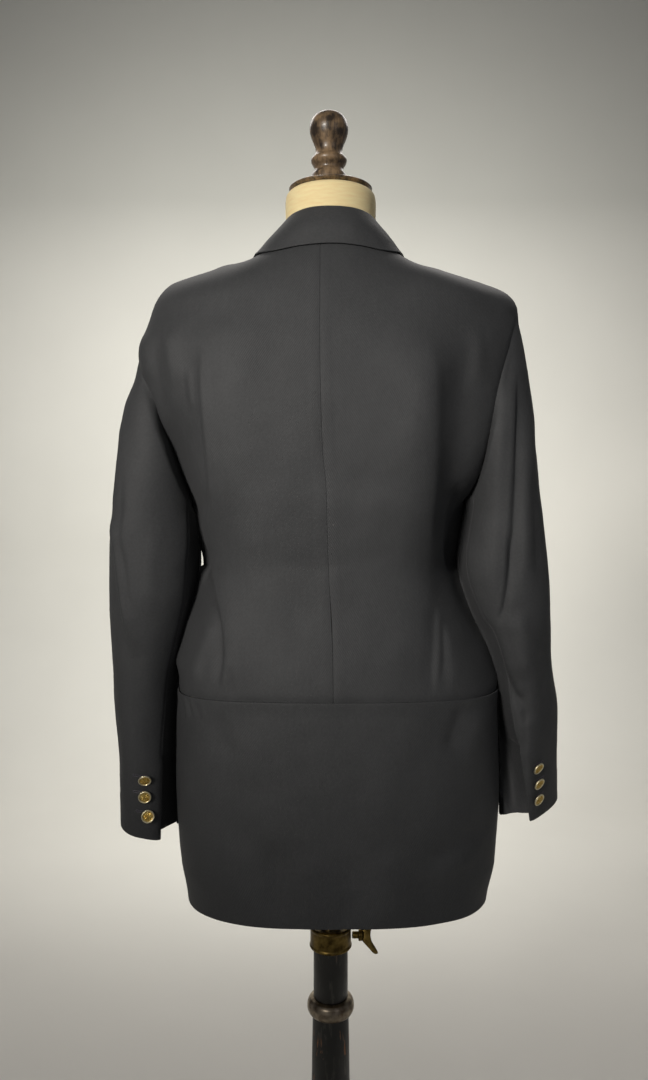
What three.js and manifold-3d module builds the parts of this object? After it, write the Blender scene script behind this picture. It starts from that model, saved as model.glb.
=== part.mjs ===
// A women's wool blazer resting on a limbless dress form with an adjustable stand.
// Millimetres, +Z up. The origin is the middle of the base's underside. The garment's front faces -Y,
// the wearer's left is +X.
import * as THREE from 'three';
import { mergeVertices } from 'three/addons/utils/BufferGeometryUtils.js';
import Module from 'manifold-3d';

const wasm = await Module();
wasm.setup();

// ---- Driving dimensions -------------------------------------------------------------------------

const CLOTH = 2;            // thickness of a cloth wall
const SEAM = 0.16;          // each piece stops this far short of a flat seam
const ARMHOLE_EASE = 2.2;   // the sleeve head stops this far short of the armhole, where it turns
const FOLD_LIFT = 4.3;      // a lapel lies this far out from the front under it
const LAP_LIFT = 1.7;       // the right front lies this far out, and the left this far in, where they lap
const UNDERARM_EASE = 2.6;  // how far the sleeve stands off the body under the arm
const BACK_SWELL = 30;      // how strongly the sleeve's back and front leave the armhole
const RING_STEP = 12;       // the drop over which the sleeve's direction is read at the biceps
const RING_STEPS = 24;      // points round a sleeve
const CAP_STEPS = 6;        // rows from the armhole to the biceps
const ARM_STEPS = 11;       // rows from the biceps to the cuff

// The body in level sections: half widths to the wearer's left and right, depths behind and before
// the axis, and how square the section is.
const BODY = [
  { z: 1440, left: 76, right: 73, back: 66, front: 43, square: 2.1 },
  { z: 1424, left: 99, right: 93, back: 77, front: 60, square: 2.1 },
  { z: 1409, left: 129, right: 126, back: 84, front: 77, square: 2.15 },
  { z: 1397, left: 158, right: 162, back: 89, front: 89, square: 2.2 },
  { z: 1386, left: 183, right: 192, back: 93, front: 97, square: 2.25 },
  { z: 1374, left: 200, right: 214, back: 97, front: 103, square: 2.3 },
  { z: 1350, left: 212, right: 220, back: 104, front: 111, square: 2.3 },
  { z: 1316, left: 227, right: 219, back: 112, front: 121, square: 2.35 },
  { z: 1250, left: 212, right: 205, back: 120, front: 131, square: 2.35 },
  { z: 1200, left: 194, right: 190, back: 121, front: 131, square: 2.35 },
  { z: 1160, left: 174, right: 172, back: 118, front: 126, square: 2.35 },
  { z: 1138, left: 161, right: 158, back: 116, front: 122, square: 2.35 },
  { z: 1110, left: 152, right: 145, back: 111, front: 118, square: 2.35 },
  { z: 1068, left: 139, right: 135, back: 106, front: 113, square: 2.35 },
  { z: 1030, left: 147, right: 145, back: 110, front: 113, square: 2.4 },
  { z: 990, left: 163, right: 165, back: 118, front: 116, square: 2.45 },
  { z: 953, left: 175, right: 181, back: 124, front: 119, square: 2.5 },
  { z: 922, left: 177, right: 189, back: 127, front: 121, square: 2.5 },
  { z: 862, left: 178, right: 192, back: 129, front: 123, square: 2.5 },
  { z: 785, left: 178, right: 192, back: 130, front: 124, square: 2.5 },
  { z: 726, left: 173, right: 187, back: 130, front: 125, square: 2.45 },
  { z: 680, left: 167, right: 181, back: 129, front: 124, square: 2.4 },
];

// Where the centre-back seam runs.
const BACK_SEAM = [
  { z: 1440, x: 12 }, { z: 1290, x: 12 }, { z: 1190, x: 9 }, { z: 1165, x: 6 },
  { z: 1070, x: 3 }, { z: 995, x: -1 }, { z: 931, x: -2 },
];

// Each armhole is an oval seen from the side: its shoulder tip, its underarm, and how far it reaches
// behind and before the axis.
const ARMHOLE = {
  left: { tip: 1316, under: 1138, back: 59, front: 76 },
  right: { tip: 1372, under: 1138, back: 63, front: 78 },
};
const ARMHOLE_FULLNESS = 0.8;  // less is squarer than an ellipse

// Each sleeve below the head in level rings: the centre, the half widths across and front to back,
// the turn about the vertical in degrees, where the two seams run round it, in degrees from straight
// back towards the outside, and how round the section is (1 is an ellipse, less is boxier). The cuff
// rises towards the outside.
const SLEEVE = {
  left: {
    cuff: 757, underCuff: 763, cuffRise: 6, bulge: 12,
    rings: [
      { z: 1120, x: 210.5, y: 0, across: 49, deep: 67, turn: 0, elbow: -60, front: 225, round: 1 },
      { z: 1085, x: 208.5, y: 3, across: 52.5, deep: 66, turn: 0, elbow: -54, front: 225, round: 0.98 },
      { z: 1040, x: 209, y: 5, across: 51, deep: 64, turn: 0, elbow: -54, front: 225, round: 0.96 },
      { z: 1000, x: 213, y: 4, across: 46, deep: 62, turn: 0, elbow: -55, front: 226, round: 0.95 },
      { z: 953, x: 218.5, y: 0, across: 38.5, deep: 60, turn: 0, elbow: -54, front: 228, round: 0.93 },
      { z: 910, x: 219.5, y: -3, across: 36.5, deep: 59, turn: 0, elbow: -48, front: 229, round: 0.92 },
      { z: 831, x: 217.5, y: -5, across: 33.5, deep: 57, turn: 0, elbow: -38, front: 232, round: 0.9 },
      { z: 757, x: 216.5, y: -6, across: 33, deep: 55, turn: 0, elbow: -32, front: 234, round: 0.9 },
    ],
  },
  right: {
    cuff: 776, underCuff: 783, cuffRise: 8, bulge: 24,
    rings: [
      { z: 1120, x: 205.5, y: 0, across: 46.5, deep: 67, turn: 0, elbow: -60, front: 225, round: 1 },
      { z: 1070, x: 203.5, y: 4, across: 52.5, deep: 66, turn: 3, elbow: -56, front: 225, round: 0.97 },
      { z: 1030, x: 209, y: 5, across: 49, deep: 64, turn: 7, elbow: -48, front: 228, round: 0.94 },
      { z: 990, x: 218.5, y: 4, across: 41.5, deep: 62, turn: 11, elbow: -38, front: 233, round: 0.91 },
      { z: 953, x: 226.5, y: 2, across: 34, deep: 60, turn: 15, elbow: -27, front: 239, round: 0.88 },
      { z: 910, x: 231.5, y: 0, across: 29, deep: 59, turn: 19, elbow: -12, front: 247, round: 0.84 },
      { z: 840, x: 234, y: -3, across: 26.5, deep: 57, turn: 23, elbow: 12, front: 256, round: 0.8 },
      { z: 776, x: 235.5, y: -6, across: 26, deep: 56, turn: 25, elbow: 29, front: 264, round: 0.76 },
    ],
  },
};

// Each cuff's buttons, from the top: heights, and how far round from the vent's edge they sit.
const CUFF_BUTTONS = {
  left: [{ z: 822, inset: 21 }, { z: 803, inset: 20 }, { z: 781, inset: 16 }],
  right: [{ z: 836, inset: 17 }, { z: 817, inset: 16 }, { z: 798, inset: 14 }],
};
const BUTTON_RADIUS = 7.5;
const FRONT_BUTTON = { x: -2, z: 1078, radius: 11 };

// The hip seam and the hem: heights at the centre back and at the sides.
const HIP = { back: 931, side: 917 };
const HEM = { back: 693, side: 682 };

// The front edge: half the lap at the button, and the opening above and below it. x is the right
// front's edge, on the wearer's left of the axis where it is positive.
const FRONT_EDGE = [
  { z: 1440, x: -70 }, { z: 1400, x: -64 }, { z: 1350, x: -54 }, { z: 1280, x: -38 },
  { z: 1200, x: -18 }, { z: 1120, x: 6 }, { z: 1080, x: 15 }, { z: 1000, x: 15 },
  { z: 917, x: 11 }, { z: 840, x: 3 }, { z: 770, x: -12 }, { z: 720, x: -34 }, { z: 682, x: -72 },
];

// The collar, from the centre back to the end on one side: the roll line, and where the fall's lower
// edge lies on the body, by angle and height.
const COLLAR = [
  { at: 0, rollX: 0, rollY: 62, rollZ: 1474, edgeAngle: 0, edgeZ: 1426 },
  { at: 0.16, rollX: 28, rollY: 57, rollZ: 1473, edgeAngle: 20, edgeZ: 1424 },
  { at: 0.34, rollX: 51, rollY: 38, rollZ: 1469, edgeAngle: 42, edgeZ: 1418 },
  { at: 0.52, rollX: 62, rollY: 8, rollZ: 1458, edgeAngle: 84, edgeZ: 1424 },
  { at: 0.7, rollX: 69, rollY: -30, rollZ: 1438, edgeAngle: 124, edgeZ: 1409 },
  { at: 0.86, rollX: 68, rollY: -59, rollZ: 1420, edgeAngle: 140, edgeZ: 1390 },
  { at: 1, rollX: 66, rollY: -83, rollZ: 1403, edgeAngle: 151, edgeZ: 1374 },
];
const COLLAR_STEPS = 24;
const FALL_SWELL = 4;         // how far the fall rounds out at its middle and its ends
const STAND_END = 0.58;        // where the stand stops, as a share of the collar
const STAND_FOOT = 1442.5;
const STAND_SPREAD = 0.07;
const STAND_BELOW_ROLL = 4.5;

// A lapel's outer edge, up from the button: half widths.
const LAPEL_EDGE = [
  { z: 1100, x: 12 }, { z: 1150, x: 45 }, { z: 1210, x: 78 }, { z: 1270, x: 102 }, { z: 1325, x: 121 },
];
const LAPEL_FOOT = { left: 1150, right: 1102 };   // the left lapel's foot is under the right front
const LAPEL_GORGE = 1396;      // the upper end of the roll line, at the gorge

// The form inside: level sections.
const FORM = [
  { z: 1511, half: 47, back: 47, front: 47 },
  { z: 1508, half: 52, back: 52, front: 52 },
  { z: 1502, half: 54, back: 54, front: 54 },
  { z: 1470, half: 54, back: 54, front: 50 },
  { z: 1452, half: 57, back: 57, front: 45 },
  { z: 1438, half: 68, back: 63, front: 41 },
  { z: 1424, half: 88, back: 73, front: 54 },
  { z: 1409, half: 121, back: 80, front: 71 },
  { z: 1396, half: 153, back: 85.5, front: 83 },
  { z: 1384, half: 176, back: 89.5, front: 91 },
  { z: 1370, half: 186, back: 93.5, front: 98 },
  { z: 1345, half: 188, back: 101, front: 108 },
  { z: 1300, half: 184, back: 108, front: 118 },
  { z: 1240, half: 171, back: 114, front: 124 },
  { z: 1180, half: 157, back: 113, front: 122 },
  { z: 1120, half: 140, back: 105, front: 111 },
  { z: 1068, half: 129, back: 99, front: 104 },
  { z: 1020, half: 138, back: 103, front: 105 },
  { z: 960, half: 160, back: 114, front: 109 },
  { z: 900, half: 168, back: 119, front: 112 },
  { z: 862, half: 167, back: 118, front: 111 },
  { z: 852, half: 161, back: 112, front: 105 },
];
const FORM_ROUND = 2.2;
const FORM_COLUMNS = 36;

// The stand: radii and heights.
const RUNNING = 0.35;          // clearance of the sliding rod, and of touching pieces
const ROD_RADIUS = 13;
const ROD_FOOT = 330;
const ROD_FLANGE = 42;
const BORE_FLOOR = 230;
const COLLAR_BAND = { low: 608, high: 634, radius: 25.4 };
const RING_BAND = { low: 528, high: 549, radius: 28 };
const POLE_RADIUS = 20.5;
const BASE_RADIUS = 200;
const BASE_HEIGHT = 38;
const SCREW_HEIGHT = 621;
const SCREW_RADIUS = 4;
const SCREW_WING = 22;

// ---- Colours ------------------------------------------------------------------------------------

const WOOL = { color: 0x3d3d3d, roughness: 0.9, metalness: 0 };
const GILT = { color: 0xb8923f, roughness: 0.32, metalness: 1 };
const HORN = { color: 0x201d1b, roughness: 0.35, metalness: 0 };
const CALICO = { color: 0xeed8a4, roughness: 0.85, metalness: 0 };
const DARK_WOOD = { color: 0x3c2d26, roughness: 0.45, metalness: 0 };
const BRONZE = { color: 0x5a4828, roughness: 0.4, metalness: 1 };
const STEEL = { color: 0x6b6a66, roughness: 0.4, metalness: 1 };

// ---- Reading the tables -------------------------------------------------------------------------

const radians = THREE.MathUtils.degToRad;
const smooth = THREE.MathUtils.smoothstep;

// A column of a table at a place, by a smooth curve through its rows; straight on past the ends.
function column(table, key, place, by = 'z') {
  const rows = table[0][by] <= table[table.length - 1][by] ? table : [...table].reverse();
  const last = rows.length - 1;
  const slope = (i) => {
    const low = rows[Math.max(i - 1, 0)];
    const high = rows[Math.min(i + 1, last)];
    return (high[key] - low[key]) / (high[by] - low[by]);
  };
  if (place <= rows[0][by]) return rows[0][key] + slope(0) * (place - rows[0][by]);
  if (place >= rows[last][by]) return rows[last][key] + slope(last) * (place - rows[last][by]);
  let i = 0;
  while (place > rows[i + 1][by]) i += 1;
  const span = rows[i + 1][by] - rows[i][by];
  const t = (place - rows[i][by]) / span;
  const a = rows[i][key];
  const b = rows[i + 1][key];
  const c = slope(i) * span;
  const d = slope(i + 1) * span;
  return a + c * t + (3 * (b - a) - 2 * c - d) * t * t + (2 * (a - b) + c + d) * t * t * t;
}

const signedPower = (value, power) => Math.sign(value) * Math.abs(value) ** power;

// ---- The body surface ---------------------------------------------------------------------------

// A point of the body, by the angle from straight back (positive to the wearer's left) and the height.
function bodyPoint(angle, z) {
  const turn = radians(angle);
  const power = 2 / column(BODY, 'square', z);
  const half = column(BODY, Math.sin(turn) >= 0 ? 'left' : 'right', z);
  const depth = column(BODY, Math.cos(turn) >= 0 ? 'back' : 'front', z);
  return new THREE.Vector3(half * signedPower(Math.sin(turn), power), depth * signedPower(Math.cos(turn), power), z);
}

// The angle at which the body reaches a given x, on its back or its front.
function bodyAngle(x, z, front) {
  const half = column(BODY, x >= 0 ? 'left' : 'right', z);
  const share = Math.min(Math.abs(x) / half, 1);
  const angle = THREE.MathUtils.radToDeg(Math.asin(share ** (column(BODY, 'square', z) / 2)));
  return Math.sign(x) * (front ? 180 - angle : angle);
}

const hipHeight = (angle) => HIP.side + (HIP.back - HIP.side) * Math.max(Math.cos(radians(angle)), 0) ** 1.5;
const hemHeight = (angle) => HEM.side + (HEM.back - HEM.side) * Math.max(Math.cos(radians(angle)), 0) ** 2;

// The angle at which the body reaches a given depth behind (or, negative, before) the axis.
function depthAngle(y, z) {
  const share = Math.min(Math.abs(y) / column(BODY, y >= 0 ? 'back' : 'front', z), 1);
  const angle = THREE.MathUtils.radToDeg(Math.acos(share ** (column(BODY, 'square', z) / 2)));
  return y >= 0 ? angle : 180 - angle;
}

// The height of the armhole's edge at an angle round the sleeve (0 is straight back, 90 the tip, -90
// the underarm), and the angle round the body there.
function armholeHeight(side, angle) {
  const hole = ARMHOLE[side];
  return hole.under + (hole.tip - hole.under) * (1 + Math.sin(radians(angle))) / 2;
}

function armholeAngle(side, angle) {
  const reach = signedPower(Math.cos(radians(angle)), ARMHOLE_FULLNESS);
  const depth = reach * ARMHOLE[side][reach >= 0 ? 'back' : 'front'];
  return (side === 'left' ? 1 : -1) * depthAngle(depth, armholeHeight(side, angle));
}

// The angle where a panel ends on one side: the shoulder seam, the armhole, or the side seam.
function sideAngle(side, z, front) {
  const hole = ARMHOLE[side];
  if (z >= hole.tip || z <= hole.under) return side === 'left' ? 90 : -90;
  const level = 2 * (z - hole.under) / (hole.tip - hole.under) - 1;
  const angle = THREE.MathUtils.radToDeg(Math.asin(level));
  return armholeAngle(side, front ? 180 - angle : angle);
}

// ---- The sleeve surface -------------------------------------------------------------------------

const armholePoint = (side, angle) => bodyPoint(armholeAngle(side, angle), armholeHeight(side, angle));

function ringPoint(side, angle, z) {
  const rings = SLEEVE[side].rings;
  const turn = radians(column(rings, 'turn', z));
  const round = column(rings, 'round', z);
  const across = column(rings, 'across', z) * signedPower(Math.sin(radians(angle)), round);
  const deep = column(rings, 'deep', z) * signedPower(Math.cos(radians(angle)), round);
  const x = column(rings, 'x', z) + across * Math.cos(turn) - deep * Math.sin(turn);
  const y = column(rings, 'y', z) + across * Math.sin(turn) + deep * Math.cos(turn);
  return new THREE.Vector3(side === 'left' ? x : -x, y, z);
}

// A point of the sleeve: row 0 is the armhole, 1 the biceps, 2 the cuff.
function sleevePoint(side, angle, row) {
  const sleeve = SLEEVE[side];
  const biceps = sleeve.rings[0].z;
  if (row >= 1) {
    const cuff = sleeve.cuff + sleeve.cuffRise * Math.max(Math.sin(radians(angle)), 0);
    return ringPoint(side, angle, biceps + (cuff - biceps) * (row - 1));
  }
  const start = armholePoint(side, angle);
  const end = ringPoint(side, angle, biceps);
  const outward = side === 'left' ? 1 : -1;
  const below = Math.max(-Math.sin(radians(angle)), 0) ** 2;
  start.x += outward * UNDERARM_EASE * below;
  const along = end.clone().sub(start);
  const leave = along.clone();
  leave.x += outward * sleeve.bulge * (1 - below);
  leave.y += BACK_SWELL * Math.cos(radians(angle));
  const arrive = ringPoint(side, angle, biceps - RING_STEP).sub(end).multiplyScalar(-along.z / RING_STEP);
  const t = Math.max(row, 0);
  return start.addScaledVector(along, t * t * (3 - 2 * t))
    .addScaledVector(leave, t * (1 - t) * (1 - t))
    .addScaledVector(arrive, t * t * (t - 1));
}

function sleeveAngles(side, row) {
  const sleeve = SLEEVE[side];
  const biceps = sleeve.rings[0].z;
  const z = row < 1 ? biceps : biceps + (sleeve.cuff - biceps) * (row - 1);
  return { elbow: column(sleeve.rings, 'elbow', z), front: column(sleeve.rings, 'front', z) };
}

// ---- Cloth walls --------------------------------------------------------------------------------

// The outward normal of a surface at a place, from points either side of it.
function surfaceNormal(surface, a, b, step, inside) {
  const alongA = surface(a + step.a, b).sub(surface(a - step.a, b));
  const alongB = surface(a, b + step.b).sub(surface(a, b - step.b));
  const normal = alongA.cross(alongB).normalize();
  const point = surface(a, b);
  return normal.dot(point.clone().sub(inside(point))) < 0 ? normal.negate() : normal;
}

// A wall of cloth on a surface. grid holds rows of {a, b, lift} places; ends gives how far each side
// (first, last row; first, last column) stops short of its seam.
function clothWall({ surface, grid, step, inside, ends }) {
  const middle = grid.map((row) => row.map(({ a, b }) => surface(a, b)));
  const normals = grid.map((row) => row.map(({ a, b }) => surfaceNormal(surface, a, b, step, inside)));
  grid.forEach((row, i) => row.forEach(({ lift = 0 }, j) => middle[i][j].addScaledVector(normals[i][j], lift)));
  const rows = grid.length;
  const columns = grid[0].length;
  const pull = (point, towards, distance) => {
    point.addScaledVector(towards.clone().sub(point).normalize(), distance);
  };
  for (let j = 0; j < columns; j += 1) {
    pull(middle[0][j], middle[1][j], ends.firstRow);
    pull(middle[rows - 1][j], middle[rows - 2][j], ends.lastRow);
  }
  for (let i = 0; i < rows; i += 1) {
    pull(middle[i][0], middle[i][1], ends.firstColumn);
    pull(middle[i][columns - 1], middle[i][columns - 2], ends.lastColumn);
  }
  const positions = [];
  for (const reach of [CLOTH / 2, -CLOTH / 2]) {
    middle.forEach((row, i) => row.forEach((point, j) => {
      positions.push(...point.clone().addScaledVector(normals[i][j], reach).toArray());
    }));
  }
  const at = (i, j, layer) => layer * rows * columns + i * columns + j;
  const index = [];
  const quad = (p, q, r, s) => index.push(p, q, r, p, r, s);
  for (let i = 0; i < rows - 1; i += 1) {
    for (let j = 0; j < columns - 1; j += 1) {
      quad(at(i, j, 0), at(i, j + 1, 0), at(i + 1, j + 1, 0), at(i + 1, j, 0));
      quad(at(i, j, 1), at(i + 1, j, 1), at(i + 1, j + 1, 1), at(i, j + 1, 1));
    }
    quad(at(i, 0, 0), at(i + 1, 0, 0), at(i + 1, 0, 1), at(i, 0, 1));
    quad(at(i, columns - 1, 0), at(i, columns - 1, 1), at(i + 1, columns - 1, 1), at(i + 1, columns - 1, 0));
  }
  for (let j = 0; j < columns - 1; j += 1) {
    quad(at(0, j, 0), at(0, j, 1), at(0, j + 1, 1), at(0, j + 1, 0));
    quad(at(rows - 1, j, 0), at(rows - 1, j + 1, 0), at(rows - 1, j + 1, 1), at(rows - 1, j, 1));
  }
  return facingOut(positions, index);
}

// A closed mesh whose faces point out, whichever way round they were listed.
function facingOut(positions, index) {
  const corner = (i) => new THREE.Vector3().fromArray(positions, 3 * index[i]);
  let volume = 0;
  for (let i = 0; i < index.length; i += 3) volume += corner(i).dot(corner(i + 1).cross(corner(i + 2)));
  if (volume < 0) {
    for (let i = 0; i < index.length; i += 3) [index[i], index[i + 1]] = [index[i + 1], index[i]];
  }
  const geometry = new THREE.BufferGeometry();
  geometry.setAttribute('position', new THREE.Float32BufferAttribute(positions, 3));
  geometry.setIndex(index);
  geometry.computeVertexNormals();
  return geometry;
}

const steps = (from, to, count) => Array.from({ length: count + 1 }, (_, i) => from + (to - from) * i / count);
const onAxis = (point) => new THREE.Vector3(0, 0, point.z - 30);
const flatEnds = { firstRow: SEAM, lastRow: SEAM, firstColumn: SEAM, lastColumn: SEAM };

// ---- The bodice ---------------------------------------------------------------------------------

const SHOULDER_STEPS = 6;
const SIDE_STEPS = 7;
const PANEL_STEPS = 8;

// Row places down a bodice panel: a height, or below the underarm a share of the way to the hip seam.
function bodiceRows(side) {
  const hole = ARMHOLE[side];
  const half = steps(column(BODY, side, BODY[0].z), column(BODY, side, hole.tip), SHOULDER_STEPS);
  const shoulder = half.slice(0, -1).map((width) => heightOfHalf(side, width, hole.tip));
  const armhole = steps(90, -90, RING_STEPS / 2).map((angle) => armholeHeight(side, angle));
  const below = steps(0, 1, SIDE_STEPS).slice(1);
  return [...[...shoulder, ...armhole].map((z) => () => z),
    ...below.map((share) => (angle) => hole.under + (hipHeight(angle) - hole.under) * share)];
}

// The height above an armhole's tip at which the shoulder line has a given half width.
function heightOfHalf(side, width, tip) {
  let low = tip;
  let high = BODY[0].z;
  for (let i = 0; i < 40; i += 1) {
    const middle = (low + high) / 2;
    if (column(BODY, side, middle) > width) low = middle;
    else high = middle;
  }
  return (low + high) / 2;
}

function bodicePanel(side, rows, edgeAngle, front, lift) {
  const grid = rows.map((height) => {
    const level = height(front ? 180 : 0);
    const first = edgeAngle(level);
    const last = sideAngle(side, height(90), front);
    return steps(first, last, PANEL_STEPS).map((angle) => ({ a: angle, b: height(angle), lift: lift(angle, height(angle)) }));
  });
  return clothWall({ surface: bodyPoint, grid, step: { a: 4, b: 5 }, inside: onAxis, ends: flatEnds });
}

const backPanel = (side) => bodicePanel(
  side, bodiceRows(side), (z) => bodyAngle(column(BACK_SEAM, 'x', z), z, false), false, () => 0);

// Where a front ends towards the middle: the right front's edge as in the table, the left front's the
// mirror image of it.
function frontEdgeAngle(side, z) {
  const x = column(FRONT_EDGE, 'x', z);
  const angle = bodyAngle(side === 'right' ? x : -x, z, true);
  const sign = side === 'left' ? 1 : -1;
  return sign * angle > 0 ? angle : angle + sign * 360;
}

// The right front passes outside the left one near the middle.
function lapLift(side, angle, z) {
  const away = Math.abs(bodyPoint(angle, z).x);
  return (side === 'right' ? 1 : -1) * LAP_LIFT * (1 - smooth(away, 22, 70));
}

const frontPanel = (side) => bodicePanel(
  side, bodiceRows(side), (z) => frontEdgeAngle(side, z), true, (angle, z) => lapLift(side, angle, z));

// ---- The lower panels ---------------------------------------------------------------------------

const PEPLUM_STEPS = 6;
const skirtHeight = (angle, share) => hipHeight(angle) + (hemHeight(angle) - hipHeight(angle)) * share;

function backPeplum() {
  const grid = steps(0, 1, PEPLUM_STEPS).map((share) => steps(-90, 90, 20)
    .map((angle) => ({ a: angle, b: skirtHeight(angle, share) })));
  return clothWall({ surface: bodyPoint, grid, step: { a: 4, b: 5 }, inside: onAxis, ends: flatEnds });
}

function frontPeplum(side) {
  const sign = side === 'left' ? 1 : -1;
  const grid = steps(0, 1, PEPLUM_STEPS + 2).map((share) => {
    const edge = frontEdgeAngle(side, skirtHeight(180, share));
    return steps(sign * 90, edge, 9).map((angle) => {
      const z = skirtHeight(angle, share);
      return { a: angle, b: z, lift: lapLift(side, angle, z) };
    });
  });
  return clothWall({ surface: bodyPoint, grid, step: { a: 4, b: 5 }, inside: onAxis, ends: flatEnds });
}

// ---- Sleeves ------------------------------------------------------------------------------------

const ELBOW_START = -60;
const FRONT_START = 225;

function sleevePanel(side, upper) {
  const rings = SLEEVE[side].rings;
  const count = (upper ? FRONT_START - ELBOW_START : 360 + ELBOW_START - FRONT_START) / (360 / RING_STEPS);
  const biceps = rings[0].z;
  const foot = upper ? 2 : 1 + (biceps - SLEEVE[side].underCuff) / (biceps - SLEEVE[side].cuff);
  const rows = [...steps(0, 1, CAP_STEPS).slice(0, -1), ...steps(1, foot, ARM_STEPS)];
  const grid = rows.map((row) => {
    const { elbow, front } = sleeveAngles(side, row);
    const places = upper ? steps(elbow, front, count) : steps(front, elbow + 360, count);
    return places.map((angle) => ({ a: angle, b: row }));
  });
  const surface = (angle, row) => sleevePoint(side, angle, row);
  const inside = (point) => {
    const ring = Math.min(point.z, biceps);
    const x = column(rings, 'x', ring) - (point.z > biceps ? 40 * (point.z - biceps) / 200 : 0);
    return new THREE.Vector3(side === 'left' ? x : -x, column(rings, 'y', ring), point.z - 5);
  };
  const ends = { ...flatEnds, firstRow: ARMHOLE_EASE };
  return clothWall({ surface, grid, step: { a: 6, b: 0.04 }, inside, ends });
}

// ---- Collar and lapels --------------------------------------------------------------------------

// The front of the body as a surface over x and z.
function frontPoint(x, z) {
  return bodyPoint(bodyAngle(x, z, true), z);
}

const collarValue = (key, place) => column(COLLAR, key, Math.abs(place), 'at');

function collarRoll(place) {
  const side = Math.sign(place) || 1;
  return new THREE.Vector3(side * collarValue('rollX', place), collarValue('rollY', place), collarValue('rollZ', place));
}

// The lower edge of the fall lies just outside the body.
function collarEdge(place) {
  const angle = (Math.sign(place) || 1) * collarValue('edgeAngle', place);
  const z = collarValue('edgeZ', place);
  return bodyPoint(angle, z).addScaledVector(surfaceNormal(bodyPoint, angle, z, { a: 4, b: 5 }, onAxis), FOLD_LIFT);
}

// The fall: drop is 0 at the roll line and 1 at the lower edge.
function fallPoint(place, drop) {
  const roll = collarRoll(place);
  const edge = collarEdge(place);
  const out = edge.clone().sub(roll).setZ(0).normalize();
  const swell = FALL_SWELL * Math.abs(Math.cos(place * Math.PI));
  return roll.lerp(edge, drop).addScaledVector(out, swell * Math.sin(Math.PI * Math.min(Math.max(drop, 0), 1)));
}

// The stand: drop is 0 just inside the roll line and 1 at the neck seam.
function standPoint(place, drop) {
  const roll = collarRoll(place);
  const foot = roll.clone();
  foot.x *= 1 + STAND_SPREAD * drop;
  foot.y *= 1 + STAND_SPREAD * drop;
  foot.z += (STAND_FOOT - roll.z) * drop - STAND_BELOW_ROLL * (1 - drop);
  return foot;
}

function collarFall() {
  const grid = steps(-1, 1, COLLAR_STEPS).map((place) => steps(0, 1, 4).map((drop) => ({ a: place, b: drop })));
  return clothWall({ surface: fallPoint, grid, step: { a: 0.03, b: 0.1 }, inside: onAxis, ends: flatEnds });
}

function collarStand() {
  const grid = steps(-STAND_END, STAND_END, COLLAR_STEPS - 4).map((place) => steps(0, 1, 2)
    .map((drop) => ({ a: place, b: drop })));
  return clothWall({ surface: standPoint, grid, step: { a: 0.03, b: 0.1 }, inside: onAxis, ends: flatEnds });
}

// A lapel: up runs from the foot to the gorge, out from the roll line to the outer edge. Its top edge
// slants down from the gorge to the point.
function lapelPanel(side) {
  const sign = side === 'left' ? 1 : -1;
  const foot = LAPEL_FOOT[side];
  const tip = LAPEL_EDGE[LAPEL_EDGE.length - 1].z;
  const grid = steps(0, 1, 10).map((up) => {
    const rollZ = foot + (LAPEL_GORGE - foot) * up;
    const edgeZ = foot + (tip - foot) * up;
    const rollX = -column(FRONT_EDGE, 'x', rollZ);
    const edgeX = Math.max(column(LAPEL_EDGE, 'x', edgeZ), rollX + 3);
    return steps(0, 1, 4).map((out) => {
      const x = sign * (rollX + (edgeX - rollX) * out);
      const z = rollZ + (edgeZ - rollZ) * out;
      const lap = lapLift(side, bodyAngle(x, z, true), z);
      return { a: x, b: z, lift: lap + FOLD_LIFT };
    });
  });
  return clothWall({ surface: frontPoint, grid, step: { a: 3, b: 5 }, inside: onAxis, ends: flatEnds });
}

// ---- Buttons ------------------------------------------------------------------------------------

function lathe(profile, segments) {
  const geometry = new THREE.LatheGeometry(profile.map(([r, h]) => new THREE.Vector2(r, h)), segments);
  return geometry.rotateX(Math.PI / 2);
}

// A domed shank button: its back is at height 0.
const shankButton = (radius) => lathe([
  [0, -1.6], [radius * 0.22, -1.6], [radius * 0.22, 0], [radius * 0.86, 0], [radius, 0.8], [radius, 1.6],
  [radius * 0.8, 2.3], [radius * 0.6, 1.8], [0, 2.4],
], 14);

// A flat sewn button with a rim.
const sewnButton = (radius) => lathe([
  [0, -0.8], [radius * 0.2, -0.8], [radius * 0.2, 0], [radius * 0.8, 0], [radius, 1.2], [radius, 2.2],
  [radius * 0.84, 3], [radius * 0.7, 2.2], [0, 2.2],
], 18);

function seat(mesh, point, normal, distance) {
  mesh.position.copy(point).addScaledVector(normal, distance);
  mesh.quaternion.setFromUnitVectors(new THREE.Vector3(0, 0, 1), normal);
  return mesh;
}

function cuffButton(side, height, inset) {
  const rings = SLEEVE[side].rings;
  const biceps = rings[0].z;
  const row = 1 + (biceps - height) / (biceps - SLEEVE[side].cuff);
  const surface = (angle, place) => sleevePoint(side, angle, place);
  const edge = sleeveAngles(side, row).elbow;
  let angle = edge;
  while (surface(angle, row).distanceTo(surface(edge, row)) < inset) angle += 0.5;
  const inside = (point) => ringCentre(side, point.z);
  return { point: surface(angle, row), normal: surfaceNormal(surface, angle, row, { a: 10, b: 0.04 }, inside) };
}

function ringCentre(side, z) {
  const rings = SLEEVE[side].rings;
  const x = column(rings, 'x', z);
  return new THREE.Vector3(side === 'left' ? x : -x, column(rings, 'y', z), z);
}

// ---- The form -----------------------------------------------------------------------------------

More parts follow.
